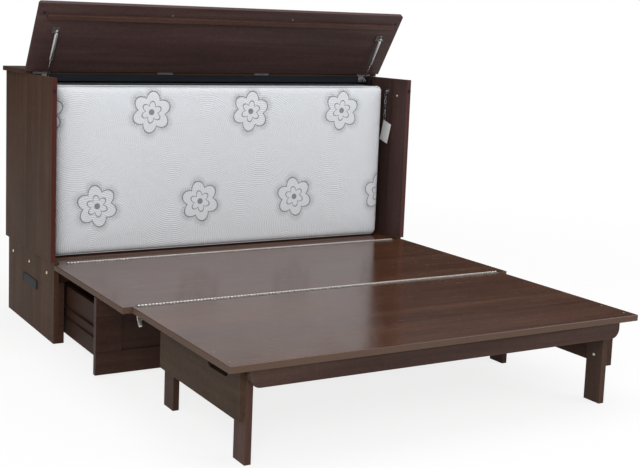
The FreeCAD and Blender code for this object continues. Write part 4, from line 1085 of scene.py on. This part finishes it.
def makeBolts():
    # one head where each group of the frame's bolt corners lies: three down each side
    points = pointsOf(nodes["side_bolts"].data)
    heads = []
    for sign in (1, -1):
        own = points[points[:, 0] * sign > 0]
        places = groupMiddles(own, boltHead["gap"])
        places[:, 0] = (np.abs(own[:, 0]).max() - boltHead["height"]) * sign
        head = lathe(boltHead["profile"], screwShape["sides"]).placed(turnTo((sign, 0, 0)))
        heads.append(head.repeated(places))
    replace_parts(makePiece("bolt_heads", joined(heads), brassyZinc, "cabinet"), "side_bolts")


makeBolts()
print("bolts made")

hook = {
    "sheet": 0.0024, "width": 0.018, "endWidth": 0.0085, "elbow": 0.0045, "curl": 0.0082, "edge": 0.0007,
    "bow": 0.0018, "setBack": 0.0003, "curlTurn": 1.25 * math.pi, "curlClose": 0.10, "points": 8,
}


def makeHooks():
    # middle line of a bent strip as (y, z): flange, elbow, drop and curl; the strip narrows down the drop
    low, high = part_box("closing_hooks")
    half, elbow, curl, edge = hook["sheet"] / 2, hook["elbow"], hook["curl"], hook["edge"]
    frontY, topZ, lowZ = high.y - half - hook["setBack"], high.z - half, low.z + half
    away = np.linspace(0, 1, hook["points"])[:, None]
    flange = np.array([low.y + half, topZ]) * (1 - away) + np.array([frontY - elbow, topZ]) * away
    turn = np.linspace(0, np.pi / 2, hook["points"])[1:]
    bend = np.stack([frontY - elbow + elbow * np.sin(turn), topZ - elbow + elbow * np.cos(turn)], -1)
    drop = np.array([frontY, topZ - elbow]) * (1 - away) + np.array([frontY, lowZ + curl]) * away
    drop[:, 0] -= hook["bow"] * np.sin(np.pi * away[:, 0])
    turn = np.linspace(0, hook["curlTurn"], 3 * hook["points"])[1:]
    reach = curl * (1 - hook["curlClose"] * turn)
    back = np.stack([frontY - curl + reach * np.cos(turn), lowZ + curl - reach * np.sin(turn)], -1)
    back[:, 1] = np.maximum(back[:, 1], lowZ)
    line = np.vstack([flange, bend, drop[1:], back])
    along = np.gradient(line, axis=0)
    along /= np.linalg.norm(along, axis=1, keepdims=True)
    normal = np.stack([-along[:, 1], along[:, 0]], -1)
    run = np.concatenate([[0], np.cumsum(np.linalg.norm(np.diff(line, axis=0), axis=1))])
    start, end = run[len(flange) + len(bend)], run[-len(back)]
    share = np.clip((run - start) / (end - start), 0, 1)
    wide = 0.5 * (hook["width"] + (hook["endWidth"] - hook["width"]) * share * share * (3 - 2 * share))
    # corners of the cut section as (share of the half width, step across, step through)
    section = np.array([[-1, edge, -half], [1, -edge, -half], [1, 0, edge - half], [1, 0, half - edge],
                        [1, -edge, half], [-1, edge, half], [-1, 0, half - edge], [-1, 0, edge - half]])
    across = wide[:, None] * section[None, :, 0] + section[None, :, 1]
    through = line[:, None] + normal[:, None] * section[None, :, 2, None]
    points = np.concatenate([across[..., None], through], -1)
    caps = np.array([[0, 1, 4, 5], [0, 5, 6, 7], [1, 2, 3, 4]])
    ends = [caps[:, ::-1], caps + (len(line) - 1) * len(section)]
    strip = Shape(points, np.vstack([gridQuads(len(line), len(section), closeColumns=True), *ends]))
    places = [(sign * (high.x - hook["width"] / 2), 0, 0) for sign in (-1, 1)]
    piece = makePiece("closing_hook_strips", strip.repeated(places), nickel, "foot_deck", weld=True)
    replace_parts(piece, "closing_hooks")


makeHooks()
print("hooks made")

leafScrew = {
    "radius": 0.0036, "height": 0.0009, "apart": 0.022, "offPin": 0.003, "sheet": 0.0015, "gap": 0.05,
}


def makeLeafScrews(name, node, body, toward, board):
    # three screws along each leaf of a node; the leaf lies on a board's face, and its middle is off the pin
    points = pointsOf(nodes[node].data)
    axis = int(np.argmax(np.abs(toward)))
    steps = leafScrew["apart"] * np.array([[0, -1, 0], [0, 0, 0], [0, 1, 0]])
    places = []
    for sign in (-1, 1):
        own = points[points[:, 0] * sign > 0]
        if not len(own):
            continue
        middles = groupMiddles(own, leafScrew["gap"])
        middles[:, axis] = board + toward[axis] * leafScrew["sheet"]
        if axis == 2:
            middles[:, 0] -= leafScrew["offPin"] * sign
        else:
            middles[:, 2] -= leafScrew["offPin"]
        places.append((middles[:, None] + steps).reshape(-1, 3))
    head = screwHead(leafScrew["radius"], leafScrew["height"]).placed(turnTo(toward))
    makePiece(name, head.repeated(np.vstack(places)), agedSteel, body)


makeLeafScrews("leg_leaf_screws_panel", "leg_hinges_fixed", "foot_deck", (0, 0, -1),
               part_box("foot_panel")[0].z)
for side, sign in (("right", 1), ("left", -1)):
    makeLeafScrews("leg_leaf_screws_" + side, "leg_hinges_" + side, "leg_frame_" + side, (-sign, 0, 0),
                   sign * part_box("leg_front_right")[0].x)

# small screws, bolts and caps that the photograph shows on the boards
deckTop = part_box("middle_panel")[1].z
pullInset = {"x": 0.006, "y": 0.012}     # of its screws, from the pulls' outline
pullLow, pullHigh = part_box("pulls")
lidUnder = boardLimits("lid_panel")[0][2]
smallFittings = [
    {"name": "pull_screw_heads", "body": "middle_deck", "finish": agedSteel, "radius": 0.0042,
     "height": 0.0012, "toward": (0, 0, 1),
     "places": [(x, y, deckTop) for x in (pullHigh.x - pullInset["x"], pullLow.x + pullInset["x"])
                for y in (pullLow.y + pullInset["y"], pullHigh.y - pullInset["y"])]},
    {"name": "foot_panel_screws", "body": "foot_deck", "finish": agedSteel, "radius": 0.0032,
     "height": 0.0007, "toward": (0, 0, 1),
     "places": [(x, y, deckTop) for x in (-0.750, 0.750) for y in (-0.864, -0.966)]},
]
# one on each side, on a board's inner face at (y, z)
sideFittings = [
    {"name": "leg_bolt_", "board": "leg_front_", "body": "leg_frame_{}", "finish": nickel, "radius": 0.0050,
     "height": 0.0020, "at": (-0.923, 0.163)},
    {"name": "inner_bolt_", "board": "upper_side_", "body": "cabinet", "finish": nickel, "radius": 0.0065,
     "height": 0.0025, "at": (0.468, 0.945)},
    {"name": "brown_cap_", "board": "upper_side_", "body": "cabinet", "finish": brownCap, "radius": 0.0130,
     "height": 0.0035, "at": (0.672, 0.994), "slot": "espresso_wood"},
]
for fitting in sideFittings:
    for side, sign, end in (("right", -1, 0), ("left", 1, 1)):
        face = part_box(fitting["board"] + side)[end].x
        smallFittings.append({**fitting, "name": fitting["name"] + side, "body": fitting["body"].format(side),
                              "toward": (sign, 0, 0), "places": [(face, *fitting["at"])]})
smallFittings.append(
    {"name": "lid_screws", "body": "lid", "finish": agedSteel, "radius": 0.0045, "height": 0.0012,
     "toward": turnedLid((0, 0, -1), -1) - turnedLid((0, 0, 0), -1),
     "places": [turnedLid((x, 0.4105, lidUnder), -1) for x in (-0.278, 0.278)]})
for fitting in smallFittings:
    head = screwHead(fitting["radius"], fitting["height"]).placed(turnTo(fitting["toward"]))
    makePiece(fitting["name"], head.repeated(fitting["places"]), fitting["finish"], fitting["body"])
print("small fittings made")


# Floor, wall and world

floorSettings = {
    "half": 30.0, "below": 0.0006, "darker": (0.86, 0.86, 0.86), "lighter": (0.90, 0.90, 0.90),
    "near": (1.6, 0.82), "far": (4.2, 1.0),     # distance from the middle and share of plain white there
}
wallSettings = {
    "radius": 9.0, "high": 6.0, "sides": 48,
    "stops": [(0.0, (0.02, 0.017, 0.016)), (0.40, (0.025, 0.022, 0.020)), (0.80, (0.40, 0.40, 0.42)),
              (1.0, (1, 1, 1))],
}
worldLevel = 0.62


def makeFloor():
    # seen straight or in a mirror the floor is mixed with plain white, more so far away, and its shadows stay
    finish = Finish("pale_floor", {"Roughness": 0.9})
    pale = finish.mixColour(finish.noise(9.0, 2.0, 0.5), floorSettings["darker"], floorSettings["lighter"])
    finish.feed(finish.shader.made.inputs["Base Color"], pale)
    x, y, z = finish.split()
    (nearAt, nearShare), (farAt, farShare) = floorSettings["near"], floorSettings["far"]
    away = (x * x + y * y).maths("SQRT").fade(nearAt, farAt)
    share = finish.seen() * (away * (farShare - nearShare) + nearShare)
    white = finish.node("ShaderNodeEmission")[0]
    finish.show(finish.node("ShaderNodeMixShader", {}, {0: share, 1: finish.shader[0], 2: white})[0])
    corners = floorSettings["half"] * np.array([(-1, -1, 0), (1, -1, 0), (1, 1, 0), (-1, 1, 0)])
    shape = Shape(corners - [0, 0, floorSettings["below"]], [[0, 1, 2, 3]])
    floor = addObject("floor", meshOf("floor", shape, finish.material))


def makeStudioWall():
    # round grey wall far around the set, met by reflections only: darker near the floor, white above
    finish = Finish("studio_wall", {"Roughness": 1.0})
    grey = finish.ramp(finish.split()[2] / wallSettings["high"], wallSettings["stops"])
    finish.show(finish.node("ShaderNodeEmission", {}, {"Color": grey})[0])
    sides = wallSettings["sides"]
    cos, sin = circle(sides)
    ring = np.stack([cos, sin, 0 * cos], -1) * wallSettings["radius"]
    shape = Shape([ring, ring + [0, 0, wallSettings["high"]]], gridQuads(2, sides, closeColumns=True))
    wall = addObject("studio_wall", meshOf("studio_wall", shape, finish.material))
    wall.visible_camera = wall.visible_diffuse = wall.visible_shadow = wall.visible_transmission = False


def makeWorld():
    scene.world = bpy.data.worlds.new("studio")
    sky = ShaderTree(scene.world)
    plain, white = (sky.node("ShaderNodeBackground", {}, {"Color": (1, 1, 1, 1), "Strength": level})[0]
                    for level in (worldLevel, 1.0))
    mixed = sky.node("ShaderNodeMixShader", {}, {0: sky.seen(), 1: plain, 2: white})[0]
    sky.node("ShaderNodeOutputWorld", {}, {"Surface": mixed})


makeFloor()
makeStudioWall()
makeWorld()
print("floor and world made")
